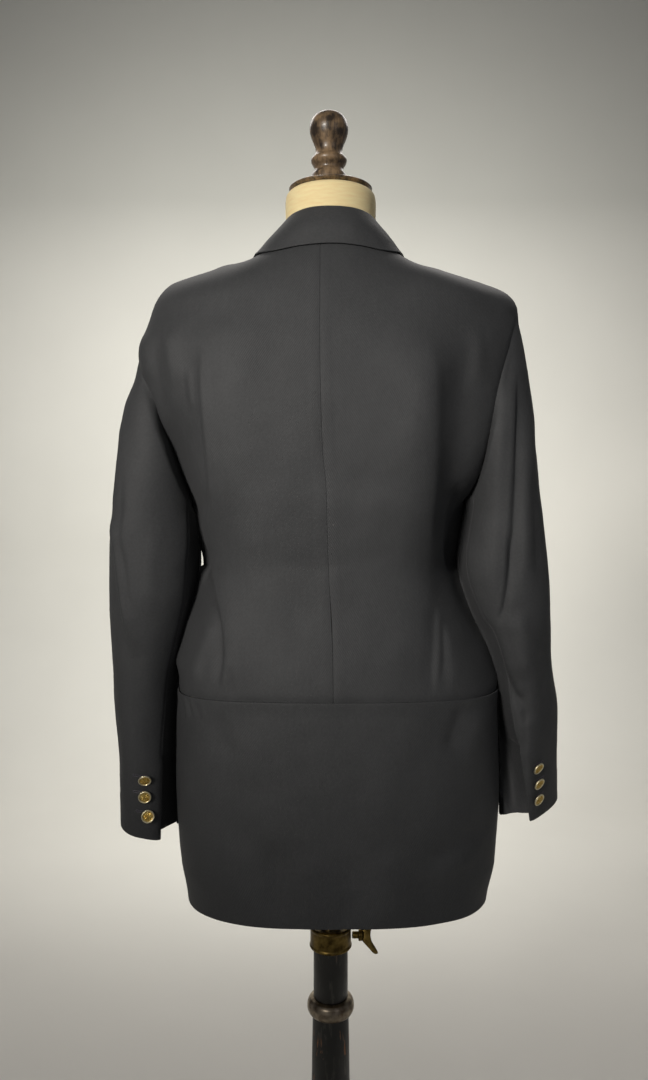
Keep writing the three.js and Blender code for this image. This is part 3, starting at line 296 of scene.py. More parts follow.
# The creases, on the cloth as the fullness and the hollows leave it.
CREASES = {
    "body": creases("""
        # the back's long left edge: a crisp ridge down to the waist, rolling over at the waist
        back 2.6 14 30 0.3: 142,1330 141,1240 139,1150 134,1085 128,1040
        back 2.6 2.6 7 0.2: 141,1320 139,1270 135,1225 131,1180 131,1140 136,1104
        back -1.2 16 6 0.25: 152,1320 150,1260 146,1210 143,1170
        back 3.4 5 9 0.35: 134,1146 138,1120 138,1098 132,1076
        # the waist fold, the step beyond it and the fullness of the side panel
        back 4.6 2.8 18 0.2: 136,1100 129,1058 121,1027 114,996 113,966 117,934
        back -3.6 8 3 0.25: 127,1030 121,1000 119,970 122,940
        back 3.6 10 7 0.28: 126,1022 133,1000 143,975 149,955 152,928
        back -1.2 2 4 0.3: 110,968 108.5,950 106,928
        # the drag below the left shoulder
        back -5.2 11 10 0.3: 187,1358 194,1335 197,1300 194,1262 186,1228
        back 2.8 6 14 0.35: 186,1346 181,1322 176,1292 172,1262
        back 2.2 14 7 0.3: 208,1340 213,1322 212,1300 206,1276
        back 1.6 4 4 0.35: 156,1292 153,1262 150,1236
        # the back's right edge, and the hollow between it and the arm
        back 3.8 36 12 0.25: -102,1330 -107,1285 -108,1220 -107,1140 -103,1050
        back -8 22 22 0.25: -150,1330 -148,1280 -145,1220 -141,1150 -133,1080
        back -5 8 11 0.3: -152,1170 -144,1130 -137,1092 -140,1056
        back 2.4 9 9 0.35: -158,1342 -163,1300 -163,1262
        back -2 10 4 0.25: -114,1034 -112,1000 -109,962 -106,930
        back 0.8 3 4 0.25: -118,1028 -116,996 -113,962 -111,934
        back -1.2 3.4 2.6 0.3: -121,1014 -122,990 -121,962 -117,942
        back 2 5 22 0.3: -127,1010 -130,980 -131,950 -129,926
        # the upper back and the waist
        back -1.2 40 40 0.35: 60,1390 62,1300 58,1200 52,1110
        back 0.9 34 30 0.35: -40,1380 -44,1290 -42,1200
        back -0.9 16 20 0.3: -24,1190 -27,1130 -24,1060 -20,1000
        back 0.9 20 16 0.3: 58,1080 60,1030 56,980 52,940
        back -0.8 14 18 0.3: 34,1050 36,1000 33,952
        back 0.8 22 18 0.3: -66,1060 -70,1010 -70,950
        back -0.9 10 14 0.4: 96,1090 60,1076 20,1072 -30,1078 -80,1092
        # puckers and soft folds below the hip seam
        back 1.6 2.6 2.8 0.35: 165,925 161,912 158,896
        back 1.4 2.4 2.4 0.35: 157,927 152,912 149,899
        back -1.7 2.8 2.8 0.35: 170,923 167,908 165,893
        back -1.4 2.4 2.4 0.35: 161,926 156,911 154,898
        back 1.2 3 3.4 0.35: 143,927 140,914 139,903
        back -3 8 11 0.3: -142,924 -137,905 -130,888 -128,868
        back 3.2 10 16 0.35: -168,918 -160,896 -152,872 -148,846
        back -2.2 16 12 0.35: 128,918 118,894 112,862
        back 1.8 16 20 0.35: 96,905 92,870 94,830
        back -1.8 20 18 0.35: 20,915 26,880 24,830
        back 1.4 22 22 0.35: -50,900 -54,860 -48,800
        back -2.4 10 16 0.35: -84,756 -120,764 -156,776 -186,788
        back 1.8 9 11 0.35: -104,742 -136,748 -168,756
        back 2.2 24 20 0.3: 100,790 102,740 98,690
        back -2.6 15 15 0.3: 60,790 58,735 60,688
        back 2.2 15 14 0.3: 22,775 20,735 22,688
        back -2.4 14 15 0.3: -16,780 -19,735 -16,688
        back 2.4 16 17 0.3: -58,780 -60,735 -58,688
        back -2.2 15 16 0.3: -104,740 -104,720 -102,690
        # the front: the waist button's pull, the chest and the skirt
        front -1.8 8 10 0.35: -10,1074 -46,1086 -86,1106 -112,1124
        front 1.5 8 9 0.35: -12,1090 -50,1110 -84,1136
        front -1.6 8 9 0.35: 20,1080 52,1094 92,1118
        front -1.4 8 9 0.35: -8,1066 -44,1052 -88,1036
        front -1.5 9 8 0.35: 20,1066 58,1046 98,1028
        front 1.6 26 22 0.35: 96,1300 100,1240 96,1180
        front 1.5 26 22 0.35: -98,1290 -104,1230 -98,1170
        front -1.6 14 16 0.35: 150,1290 146,1230 138,1170
        front -1.6 16 14 0.35: -148,1300 -146,1235 -136,1170
        front 1.7 22 20 0.3: 86,900 92,820 98,720
        front -1.6 18 20 0.3: 130,900 134,820 138,712
        front 1.6 20 24 0.3: -96,900 -102,820 -110,720
        front -1.5 20 18 0.3: -138,900 -142,820 -146,712
        # the sides, down from the underarm
        left -2 12 14 0.35: 20,1110 12,1060 16,1010
        left 1.8 16 14 0.35: -14,900 -18,830 -12,740
        right -2 14 12 0.35: 18,1110 8,1060 14,1010
        right 1.8 14 16 0.35: 10,900 4,830 8,740
        """),
    "left_sleeve": creases("""
        # the outer crease that turns in at the elbow
        back 5 6 26 0.2: 238,1290 240,1228 242,1180 245,1119 243,1080
        back 2.2 2.8 8 0.2: 238,1240 240,1180 242,1155 247,1117
        back 4.6 5 22 0.2: 247,1132 244,1106 239,1070 234,1035 226,990 222,960
        back 2.6 2.6 8 0.18: 249,1124 244,1106 239,1070 234,1035 226,990
        back -3 10 4 0.3: 234,1190 235,1140 236,1096 231,1066 226,1032 218,990
        back -2.4 3.5 8 0.3: 252,1150 254,1120 250,1092
        # the sleeve's back edge stands out beside the hollow of the underarm
        back 4 16 9 0.3: 190,1240 177,1195 168,1150 165,1100 168,1050
        back 1.5 11 10 0.35: 203,1112 203,1062 208,1002
        back -1.6 13 12 0.35: 222,1010 219,965 216,915
        back 1.5 14 12 0.35: 231,940 228,880 226,820
        back -1.3 10 12 0.35: 206,905 205,870 206,846
        back 1.5 14 18 0.35: 215,1262 210,1220 204,1176
        back 1 5 6 0.35: 238,870 238,820 236,775
        front -2.2 8 10 0.3: 176,1110 200,1092 226,1084 246,1092
        front 1.9 9 8 0.3: 174,1080 200,1064 228,1060
        front -2 8 9 0.3: 178,1052 204,1040 236,1046
        front 1.5 16 14 0.35: 212,1230 214,1180 210,1130
        front -1.5 12 14 0.35: 216,980 214,910 216,830
        left -1.7 14 16 0.35: 22,1230 24,1170 30,1110
        left 1.5 12 12 0.35: -20,1200 -22,1140 -24,1080
        left -1.6 9 10 0.3: -46,1096 -20,1084 6,1088
        left -1.4 9 10 0.3: -44,1046 -16,1040 8,1046
        left 1.4 14 12 0.35: 8,960 4,880 2,800
        """),
    "right_sleeve": creases("""
        # the long fold down the outer sleeve, hooking in above the elbow
        back 3.2 28 8 0.22: -190,1262 -187,1180 -184,1110 -182,1050 -180,1010
        back -5 4.5 13 0.2: -215,1300 -212,1251 -208,1170 -204,1097 -202,1063 -199,1022
        back -3.6 2.4 5 0.22: -200,1110 -198,1063 -193,1020 -187,1000
        back 2.6 8 12 0.3: -221,1255 -221,1180 -219,1100 -218,1040
        back -2.4 8 9 0.3: -232,1190 -234,1110 -236,1040
        # the swelling at the elbow, with the drag under it
        back 4.6 14 11 0.3: -210,1024 -213,992 -216,964 -219,934
        back -4.6 7 5 0.22: -174,1012 -184,984 -194,954 -206,928 -219,903
        back -3.4 7 8 0.3: -210,928 -219,910 -226,888
        back 1.5 12 10 0.35: -226,890 -228,850 -232,800
        back -1.8 9 10 0.3: -240,1010 -244,950 -245,880
        back 1.3 7 8 0.35: -252,980 -256,910 -257,830
        back -1.5 10 12 0.35: -198,1330 -200,1290 -202,1250
        front -2.2 10 8 0.3: -170,1104 -196,1088 -224,1082
        front 1.9 8 9 0.3: -172,1074 -198,1060 -228,1058
        front -2 9 8 0.3: -178,1046 -204,1036 -236,1042
        front 1.5 14 16 0.35: -206,1230 -208,1180 -204,1130
        front -1.5 14 12 0.35: -226,960 -234,900 -238,830
        right -1.7 16 14 0.35: 24,1240 24,1180 30,1120
        right 1.5 12 12 0.35: -18,1210 -20,1150 -22,1090
        right -1.6 10 9 0.3: 10,1086 -18,1078 -44,1088
        right -1.4 10 9 0.3: 10,1038 -16,1030 -42,1036
        right 1.4 12 14 0.35: 10,950 6,880 2,810
        """),
    "collar": creases("""
        back 0.9 9 9 0.35: 30,1470 26,1450 24,1432
        back -0.9 8 9 0.35: -14,1471 -12,1452 -16,1434
        back 0.7 8 7 0.35: -46,1462 -50,1444 -58,1428
        """),
    "lapels": creases(""),
}

# Each face's axis across and up, its outward axis, and which way along it is outward.
FACES = {"back": (0, 2, 1, 1), "front": (0, 2, 1, -1), "left": (1, 2, 0, 1), "right": (1, 2, 0, -1),
         "top": (0, 1, 2, 1)}
PATH_STEP = 6           # the length of the straight bits that a crease's path is walked in
PATH_FEWEST = 4         # and the fewest of them
CREASE_REACH = 3        # a crease moves the cloth up to this many of its widths away
STEEP = 0.25            # a crease dies away where the cloth turns this far from its face

# Slow wobble that keeps pressed cloth from looking like sheet metal: height, wavelength and direction.
WOBBLE = (
    {"height": 0.45, "wave": 120, "along": (0.92, 0.30, 0.25), "start": 0.4},
    {"height": 0.34, "wave": 83, "along": (0.80, -0.55, 0.22), "start": 2.1},
    {"height": 0.22, "wave": 61, "along": (0.35, 0.90, -0.25), "start": 4.0},
    {"height": 0.15, "wave": 47, "along": (0.88, 0.20, 0.43), "start": 1.3},
    {"height": 0.14, "wave": 71, "along": (0.15, 0.25, 0.95), "start": 5.2},
    {"height": 0.06, "wave": 29, "along": (0.70, -0.30, -0.64), "start": 3.3},
    {"height": 0.04, "wave": 19, "along": (0.45, 0.60, 0.66), "start": 0.9},
)

# ---- Small sums -----------------------------------------------------------------------------------


def signed_power(value, power):
    """A power that keeps its value's sign."""
    return np.sign(value) * np.abs(value) ** power


def ramp(value, low, high):
    """0 below low, 1 above high, and a smooth rise between."""
    t = np.clip((value - low) / (high - low), 0, 1)
    return t * t * (3 - 2 * t)


def unit(vectors):
    length = np.linalg.norm(vectors, axis=-1, keepdims=True)
    return vectors / np.maximum(length, 1e-9)


def dot(a, b):
    return (a * b).sum(-1, keepdims=True)


def lengths_along(points, axis):
    """How far each point of a grid lies along its row or column from the first."""
    gaps = np.linalg.norm(np.diff(points, axis=axis), axis=-1)
    start = np.zeros_like(np.take(gaps, [0], axis=axis))
    return np.concatenate([start, np.cumsum(gaps, axis=axis)], axis=axis)


def grid_normals(points):
    """The normal at each point of a grid, averaged from the faces round it, the nearer the stronger."""
    faces = np.cross(points[1:, 1:] - points[:-1, :-1], points[1:, :-1] - points[:-1, 1:])
    faces = faces / np.maximum(dot(faces, faces), 1e-12)
    total = np.zeros_like(points)
    for rows in (slice(1, None), slice(None, -1)):
        for columns in (slice(1, None), slice(None, -1)):
            total[rows, columns] += faces
    return unit(total)


# ---- The body's surface ---------------------------------------------------------------------------


def body_point(angle, z):
    """A point of the body by the angle from straight back, positive to the wearer's left, and height."""
    turn = np.radians(angle)
    power = 2 / BODY("square", z)
    half = np.where(np.sin(turn) >= 0, BODY("left", z), BODY("right", z))
    depth = np.where(np.cos(turn) >= 0, BODY("back", z), BODY("front", z))
    x = half * signed_power(np.sin(turn), power)
    y = depth * signed_power(np.cos(turn), power)
    return np.stack(np.broadcast_arrays(x, y, z), -1)


def body_angle(x, z, front):
    """The angle at which the body's back or front reaches x."""
    half = np.where(x >= 0, BODY("left", z), BODY("right", z))
    share = np.minimum(np.abs(x) / half, 1)
    angle = np.degrees(np.arcsin(share ** (BODY("square", z) / 2)))
    return np.where(x >= 0, 1, -1) * (180 - angle if front else angle)


def edge_height(edge, angle):
    """The height of the hip seam or the hem, which is higher at the back than at the sides."""
    backward = np.maximum(np.cos(np.radians(angle)), 0)
    return edge["side"] + (edge["back"] - edge["side"]) * backward ** edge["curve"]


def armhole_height(side, angle):
    """The height of the armhole's edge, by the angle round the sleeve: 0 straight back, 90 the tip."""
    hole = ARMHOLE[side]
    return hole["under"] + (hole["tip"] - hole["under"]) * (1 + np.sin(np.radians(angle))) / 2


def armhole_angle(side, angle):
    """The angle round the body at which the armhole's edge lies."""
    hole = ARMHOLE[side]
    z = armhole_height(side, angle)
    reach = signed_power(np.cos(np.radians(angle)), ARMHOLE_FULLNESS)
    depth = np.abs(reach) * np.where(reach >= 0, hole["back"], hole["front"])
    share = np.minimum(depth / np.where(reach >= 0, BODY("back", z), BODY("front", z)), 1)
    turn = np.degrees(np.arccos(share ** (BODY("square", z) / 2)))
    return (1 if side == "left" else -1) * np.where(reach >= 0, turn, 180 - turn)


def front_edge_angle(side, z):
    x = FRONT_EDGE("x", z)
    angle = body_angle(x if side == "right" else -x, z, True)
    sign = 1 if side == "left" else -1
    return np.where(sign * angle > 0, angle, angle + sign * 360)


def lap_lift(side, x):
    """The right front passes outside the left one near the middle."""
    return (1 if side == "right" else -1) * LAP_LIFT * (1 - ramp(np.abs(x), *LAP_ENDS))


# ---- The sleeve's surface -------------------------------------------------------------------------


def ring_point(side, angle, z):
    rings = SLEEVE[side]
    turn = np.radians(rings("turn", z))
    power = rings("round", z)
    across = rings("across", z) * signed_power(np.sin(np.radians(angle)), power)
    deep = rings("deep", z) * signed_power(np.cos(np.radians(angle)), power)
    x = rings("x", z) + across * np.cos(turn) - deep * np.sin(turn)
    y = rings("y", z) + across * np.sin(turn) + deep * np.cos(turn)
    return np.stack(np.broadcast_arrays(x if side == "left" else -x, y, z), -1)


def cuff_height(side, angle):
    """The cuff hangs higher on its outer side and lower on its inner side."""
    out = np.sin(np.radians(angle))
    cuff = CUFF[side]
    return cuff["over"] + cuff["rise"] * np.maximum(out, 0) - cuff["dip"] * np.maximum(-out, 0)


def sleeve_point(side, angle, row):
    """A point of the sleeve: row 0 is the armhole, 1 the biceps and 2 the cuff."""
    angle, row = np.broadcast_arrays(np.asarray(angle, float), np.asarray(row, float))
    arm = ring_point(side, angle, BICEPS + (cuff_height(side, angle) - BICEPS) * (np.maximum(row, 1) - 1))
    outward = 1 if side == "left" else -1
    start = body_point(armhole_angle(side, angle), armhole_height(side, angle))
    end = ring_point(side, angle, np.full(angle.shape, float(BICEPS)))
    below = np.maximum(-np.sin(np.radians(angle)), 0) ** 2
    start[..., 0] += outward * UNDERARM_EASE * below
    along = end - start
    leave = along.copy()
    leave[..., 0] += outward * CUFF[side]["bulge"] * (1 - below)
    leave[..., 1] += BACK_SWELL * np.cos(np.radians(angle))
    lower = ring_point(side, angle, np.full(angle.shape, float(BICEPS - RING_STEP)))
    arrive = (lower - end) * (-along[..., 2:] / RING_STEP)
    t = np.clip(row, 0, 1)[..., None]
    head = start + along * t * t * (3 - 2 * t) + leave * t * (1 - t) ** 2 + arrive * t * t * (t - 1)
    return np.where(row[..., None] < 1, head, arm)


# ---- The collar's and the lapels' surfaces --------------------------------------------------------


NORMAL_STEP = (4, 5)    # degrees and drop between the points that a normal of the body is read from
FALL_CENTRE = 30        # the collar's fall faces away from the axis this far below its edge
FALL_STEP = (0.02, 0.04)    # shares along and down the fall between the points its directions are read from


def body_normal(angle, z, centre_z):
    """The normal of the body at given places, pointing away from its axis at a height."""
    turn, drop = NORMAL_STEP
    across = body_point(angle + turn, z) - body_point(angle - turn, z)
    down = body_point(angle, z + drop) - body_point(angle, z - drop)
    normal = unit(np.cross(across, down))
    away = body_point(angle, z) - np.stack(np.broadcast_arrays(0.0, 0.0, centre_z), -1)
    return normal * np.where(dot(normal, away) < 0, -1, 1)


def collar_roll(place):
    side = np.where(place < 0, -1, 1)
    at = np.abs(place)
    return np.stack([side * COLLAR("roll_x", at), COLLAR("roll_y", at), COLLAR("roll_z", at)], -1)


def fall_surface(place, drop):
    """The collar's fall: drop is 0 at the roll line and 1 at the lower edge, just outside the body."""
    roll = collar_roll(place)
    angle = np.where(place < 0, -1, 1) * COLLAR("edge_angle", np.abs(place))
    z = COLLAR("edge_z", np.abs(place))
    edge = body_point(angle, z) + FOLD_LIFT * body_normal(angle, z, z - FALL_CENTRE)
    out = (edge - roll) * (1, 1, 0)
    swell = FALL_SWELL * np.abs(np.cos(place * np.pi)) * np.sin(np.pi * np.clip(drop, 0, 1))
    return roll + (edge - roll) * drop[..., None] + unit(out) * swell[..., None]


def fall_patch(u, v):
    """The fall with its fold turned in over the stand: v below 0 is round the fold and down inside."""
    place = 2 * u - 1
    point = fall_surface(place, np.maximum(v, 0))
    top = fall_surface(place, np.zeros_like(v))
    aside, below = FALL_STEP
    down = unit(fall_surface(place, np.full_like(v, below)) - top)
    at_roll = np.zeros_like(v)
    along = unit(fall_surface(place + aside, at_roll) - fall_surface(place - aside, at_roll))
    out = unit(np.cross(down, along))
    out = out * np.where(dot(out, top * (1, 1, 0)) < 0, -1, 1)
    turn = np.pi * np.clip(-v, 0, 1)[..., None]
    tail = ROLL_TAIL * np.clip(-v - 1, 0, 1)[..., None]
    curl = top + ROLL_RADIUS * (out * (np.cos(turn) - 1) - down * np.sin(turn)) + down * tail
    return np.where(v[..., None] < 0, curl, point)


def stand_patch(u, v):
    """The band the fall stands on: v is 0 just inside the roll line and 1 at the neck seam."""
    roll = collar_roll(STAND_END * (2 * u - 1))
    spread = 1 + STAND_SPREAD * v - STAND_PINCH * (1 - v)
    z = roll[..., 2] + (STAND_FOOT - roll[..., 2]) * v - STAND_BELOW_ROLL * (1 - v)
    return np.stack([roll[..., 0] * spread, roll[..., 1] * spread, z], -1)


def lapel_patch(side):
    """A lapel from its foot up to the gorge; u below 0 turns under, onto the front's edge."""
    sign = 1 if side == "left" else -1
    foot = LAPEL_FOOT[side]

    def patch(u, v):
        out = np.maximum(u, 0)
        roll_z = foot + (LAPEL_GORGE - foot) * v
        edge_z = foot + (LAPEL_TIP - foot) * v
        roll_x = -FRONT_EDGE("x", roll_z)
        edge_x = np.maximum(LAPEL_EDGE("x", edge_z), roll_x + LAPEL_LEAST)
        turn = np.pi * np.clip(-u, 0, 1)
        x = sign * (roll_x + (edge_x - roll_x) * out - FOLD_LIFT / 2 * np.sin(turn))
        z = roll_z + (edge_z - roll_z) * out
        lift = lap_lift(side, x) + FOLD_LIFT * (1 + np.cos(turn)) / 2
        angle = body_angle(x, z, True)
        return body_point(angle, z) + lift[..., None] * body_normal(angle, z, z)

    return patch


# ---- The patches that the pieces are cut from -----------------------------------------------------


def bodice_patch(side, front):
    """A bodice half: v from 0 to 1 down the shoulder, to 2 down the armhole, to 3 down to the hip."""
    sign = 1 if side == "left" else -1
    hole = ARMHOLE[side]

    def patch(u, v):
        round_ = 90 - 180 * np.clip(v - 1, 0, 1)
        level = np.where(v < 1, NECK_TOP + (hole["tip"] - NECK_TOP) * v, armhole_height(side, round_))
        middle = level + (edge_height(HIP, 180.0 if front else 0.0) - level) * np.clip(v - 2, 0, 1)
        if front:
            first = front_edge_angle(side, middle)
        else:
            first = body_angle(BACK_SEAM("x", middle), middle, False)
        at_hole = armhole_angle(side, 180 - round_ if front else round_)
        last = np.where((v > 1) & (v < 2), at_hole, sign * 90.0)
        angle = first + (last - first) * u
        z = level + (edge_height(HIP, angle) - level) * np.clip(v - 2, 0, 1)
        return with_lap(angle, z, side if front else None)

    return patch


def with_lap(angle, z, side):
    """A point of the body, lifted where the fronts lap."""
    point = body_point(angle, z)
    if side is None:
        return point
    return point + lap_lift(side, point[..., 0])[..., None] * body_normal(angle, z, z)


def skirt_height(angle, share):
    return edge_height(HIP, angle) + (edge_height(HEM, angle) - edge_height(HIP, angle)) * share


def back_peplum_patch(u, v):
    angle = 180 * u - 90
    return body_point(angle, skirt_height(angle, v))


def front_peplum_patch(side):
    sign = 1 if side == "left" else -1

    def patch(u, v):
        edge = front_edge_angle(side, skirt_height(180.0, v))
        angle = sign * 90 + (edge - sign * 90) * u
        return with_lap(angle, skirt_height(angle, v), side)

    return patch


def sleeve_patch(side, upper):
    """The top or under sleeve: u across from seam to seam, v down as the sleeve's rows."""
    vent = VENT[side]

    def patch(u, v):
        z = BICEPS + (CUFF[side]["over"] - BICEPS) * np.maximum(v - 1, 0)
        elbow, front = SLEEVE[side]("elbow", z), SLEEVE[side]("front", z)
        open_ = ramp(vent["top"] - z, 0, VENT_OPENING)
        if upper:
            first, last = elbow - vent["lap"] * open_, front
        else:
            first, last = front, elbow + 360 + vent["under"] * open_
        angle = first + (last - first) * u
        point = sleeve_point(side, angle, v)
        centre = np.stack([point[..., 0] * 0 + SLEEVE[side]("x", z) * (1 if side == "left" else -1),
                           SLEEVE[side]("y", z), point[..., 2]], -1)
        away = unit((point - centre) * (1, 1, 0))
        if upper:
            lift = VENT_LIFT["over"] * open_ * (1 - ramp(angle - elbow, 0, VENT_BLEND["over"]))
        else:
            lift = VENT_LIFT["under"] * open_ * ramp(angle - elbow - 360, -VENT_BLEND["under"], 0)
        return point + lift[..., None] * away

    return patch


# ---- Folds ----------------------------------------------------------------------------------------


def crease_path(path):
    """A crease's given points, joined smoothly."""
    path = np.array(path, float)
    along = np.concatenate([[0], np.cumsum(np.linalg.norm(np.diff(path, axis=0), axis=1))])
    fine = np.linspace(0, along[-1], max(int(along[-1] / PATH_STEP), PATH_FEWEST))
    return np.stack([through(along, path[:, 0], fine), through(along, path[:, 1], fine)], -1)


def crease_height(points, normals, crease):
    """How far one crease moves each point out, with its widths measured as seen from its own side."""
    across, up, outward, sign = FACES[crease["face"]]
    facing = normals[..., outward] * sign
    path = crease_path(crease["path"])
    reach = CREASE_REACH * max(crease["left"], crease["right"])
    seen = points[..., [across, up]]
    near = (facing > 0) & np.all((seen > path.min(0) - reach) & (seen < path.max(0) + reach), axis=-1)
    height = np.zeros(points.shape[:-1])
    if not near.any():
        return height
    spots = seen[near]
    closest = np.full(len(spots), np.inf)
    side, place = np.zeros(len(spots)), np.zeros(len(spots))
    rightward = sign if outward == 1 else -sign
    for i, (start, end) in enumerate(zip(path[:-1], path[1:])):
        run = end - start
        t = np.clip((spots - start) @ run / (run @ run), 0, 1)
        gap = spots - (start + t[:, None] * run)
        distance = np.hypot(gap[:, 0], gap[:, 1])
        better = distance < closest
        closest = np.where(better, distance, closest)
        side = np.where(better, rightward * (gap[:, 0] * run[1] - gap[:, 1] * run[0]), side)
        place = np.where(better, (i + t) / (len(path) - 1), place)
    width = np.where(side > 0, crease["right"], crease["left"])
    fade = ramp(place, 0, crease["fade"]) * ramp(1 - place, 0, crease["fade"]) * ramp(facing[near], 0, STEEP)
    height[near] = crease["height"] * fade * np.exp(-((closest / width) ** 2))
    return height


def relief(rows, points, normals):
    """The sum of some creases at each point."""
    return sum((crease_height(points, normals, crease) for crease in rows), np.zeros(points.shape[:-1]))


def wobble(points):
    """The slow unevenness of all pressed cloth."""
    height = np.zeros(points.shape[:-1])
    for wave in WOBBLE:
        phase = points @ np.array(wave["along"]) * (2 * np.pi / wave["wave"])
        height += wave["height"] * np.sin(phase + wave["start"])
    return height


# ---- Laying out and closing a cloth shell ---------------------------------------------------------

CLOSE_ROWS = (0.15, 0.25, 0.42, 0.7)    # the first gaps in from an edge, as shares of the others
FINE_DOWN, FINE_ACROSS = 48, 160        # the steps that a patch is measured in, between two knots
FEWEST = 10                             # rows or columns between two knots
RIM_TURNS = (52, 18, -18, -52)          # degrees round a cut edge, from the face to the back


def shares(count, start, end):
    """Shares of a length from 0 to 1, closer together towards the ends that ask for it."""
    gaps = np.ones(count)
    close = len(CLOSE_ROWS)
    if start:
        gaps[:close] = CLOSE_ROWS
    if end:
        gaps[-close:] = CLOSE_ROWS[::-1]
    return np.concatenate([[0], np.cumsum(gaps)]) / gaps.sum()


def fine_steps(knots, steps):
    """Even steps between each two knots."""
    return np.concatenate([np.linspace(a, b, steps, endpoint=False) for a, b in zip(knots, knots[1:])]
                          + [np.array([knots[-1]])])


def lay_out(patch, across, knots, pitch, margins, level):
    """Even places over a patch, with a row along each knot and the margins left off at the edges. On a
    level piece every row is level, and they are spaced by the last edge's length and drop together."""
    top, bottom, first, last = margins
    v_fine, u_fine = fine_steps(knots, FINE_DOWN), fine_steps(across, FINE_ACROSS)
    u, v = np.meshgrid(u_fine, v_fine)
    along = lengths_along(patch(u, v), 1)
    full = along[:, -1:]
    count = max(int(full.max() / pitch), FEWEST)
    want = first + shares(count, True, True) * (full - first - last)
    u_at = np.stack([np.interp(goal, run, u_fine) for goal, run in zip(want, along)])
    v_at = np.repeat(v_fine[:, None], count + 1, axis=1)
    down = lengths_along(patch(u_at, v_at), 0)
    if level:
        down = np.repeat((down[:, -1:] - patch(u_at, v_at)[:, -1:, 2]) / 2, count + 1, axis=1)
    rows = []
    for k in range(len(knots) - 1):
        low, high = down[k * FINE_DOWN], down[(k + 1) * FINE_DOWN]
        ends = (k == 0, k == len(knots) - 2)
        low = low + top * ends[0]
        high = high - bottom * ends[1]
        stretch = shares(max(int((high - low).max() / pitch), FEWEST), *ends)[:, None]
        rows.append((low + stretch * (high - low))[0 if k == 0 else 1:])
    want = np.concatenate(rows)
    v_at = np.stack([np.interp(want[:, j], down[:, j], v_fine) for j in range(count + 1)], 1)
    u_at = np.stack([np.interp(v_at[:, j], v_fine, u_at[:, j]) for j in range(count + 1)], 1)
    return u_at, v_at


def edge_distance(points, edge):
    """How far each point of a grid lies from one of its edges."""
    axis = 0 if edge in ("top", "bottom") else 1
    along = lengths_along(points, axis)
    if edge in ("top", "first"):
        return along
    return np.take(along, [-1], axis=axis) - along


def closed_shell(middle, normals, thick, edge_thick):
    """The points, faces and grid places of a cloth wall with rounded edges all round."""
    rows, columns = middle.shape[:2]
    half = thick / 2
    across, down = unit(np.gradient(middle, axis=1)), unit(np.gradient(middle, axis=0))
    ring = [(0, j) for j in range(columns)] + [(i, columns - 1) for i in range(1, rows)]
    ring += [(rows - 1, j) for j in range(columns - 2, -1, -1)] + [(i, 0) for i in range(rows - 2, 0, -1)]
    ring = np.array(ring)
    away = np.zeros((len(ring), 3))
    for k, (i, j) in enumerate(ring):
        if i in (0, rows - 1):
            out = down[i, j] * (-1 if i == 0 else 1)
            away[k] += unit(out - across[i, j] * (out @ across[i, j]))
        if j in (0, columns - 1):
            out = across[i, j] * (-1 if j == 0 else 1)
            away[k] += unit(out - down[i, j] * (out @ down[i, j]))
    away = unit(away)
    edge, edge_normal = middle[ring[:, 0], ring[:, 1]], normals[ring[:, 0], ring[:, 1]]
    rims = []
    for turn in RIM_TURNS:
        out, up = math.cos(math.radians(turn)), math.sin(math.radians(turn))
        rims.append(edge + half * edge_thick * (away * out + edge_normal * up))
    walls = [(middle + normals * offset).reshape(-1, 3) for offset in (half, -half)]
    points = np.concatenate([*walls, *rims])
    size = rows * columns
    place = np.arange(size).reshape(rows, columns)
    quads = np.stack([place[:-1, :-1], place[:-1, 1:], place[1:, 1:], place[1:, :-1]], -1).reshape(-1, 4)
    border = place[ring[:, 0], ring[:, 1]]
    starts = (2 * size + k * len(ring) for k in range(len(rims)))
    loops = [border, *(start + np.arange(len(ring)) for start in starts), border + size]
    faces = [quads, quads[:, ::-1] + size]
    for upper, lower in zip(loops, loops[1:]):
        faces.append(np.stack([upper, lower, np.roll(lower, -1), np.roll(upper, -1)], -1))
    grid = np.concatenate([place.ravel(), place.ravel(), np.tile(border, len(rims))])
    return points, np.concatenate(faces), grid


def in_scene(name, data):
    made = bpy.data.objects.new(name, data)
    bpy.context.scene.collection.objects.link(made)
    return made


def face_outward(mesh):
    """Turns a closed mesh's faces outward."""
    shape = bmesh.new()
    shape.from_mesh(mesh)
    bmesh.ops.recalc_face_normals(shape, faces=shape.faces)
    shape.to_mesh(mesh)
    shape.free()


def mesh_object(name, points, faces, uv=None):
    """A smooth-shaded mesh object from millimetre points, its texture places in metres."""
    mesh = bpy.data.meshes.new(name)
    mesh.from_pydata((np.asarray(points) * MM).tolist(), [], np.asarray(faces).tolist())
    mesh.update()
    mesh.shade_smooth()
    if uv is not None:
        corner = np.empty(len(mesh.loops), int)
        mesh.loops.foreach_get("vertex_index", corner)
        mesh.uv_layers.new(name="cloth").data.foreach_set("uv", (uv[corner] * MM).ravel())
    return in_scene(name, mesh)


HEAD_REACH = 12         # a sleeve's own folds start over this distance below the armhole
HEAD_BLEND = 15         # the bodice's folds die away over this distance down the sleeve
HOLLOW_REACH = 5        # an under sleeve's hollow starts over this distance from the elbow seam
BAND_STEP = 1.5         # half the width of the step at a raised strip's edge
NEIGHBOURS = 8          # points that a seam's shift is read from
SHIFT_SOFT = 0.5        # keeps the nearest of them from counting for everything
SHIFT_BLUR = 2          # rows that a seam's shift is evened out over
SHELLS = {}


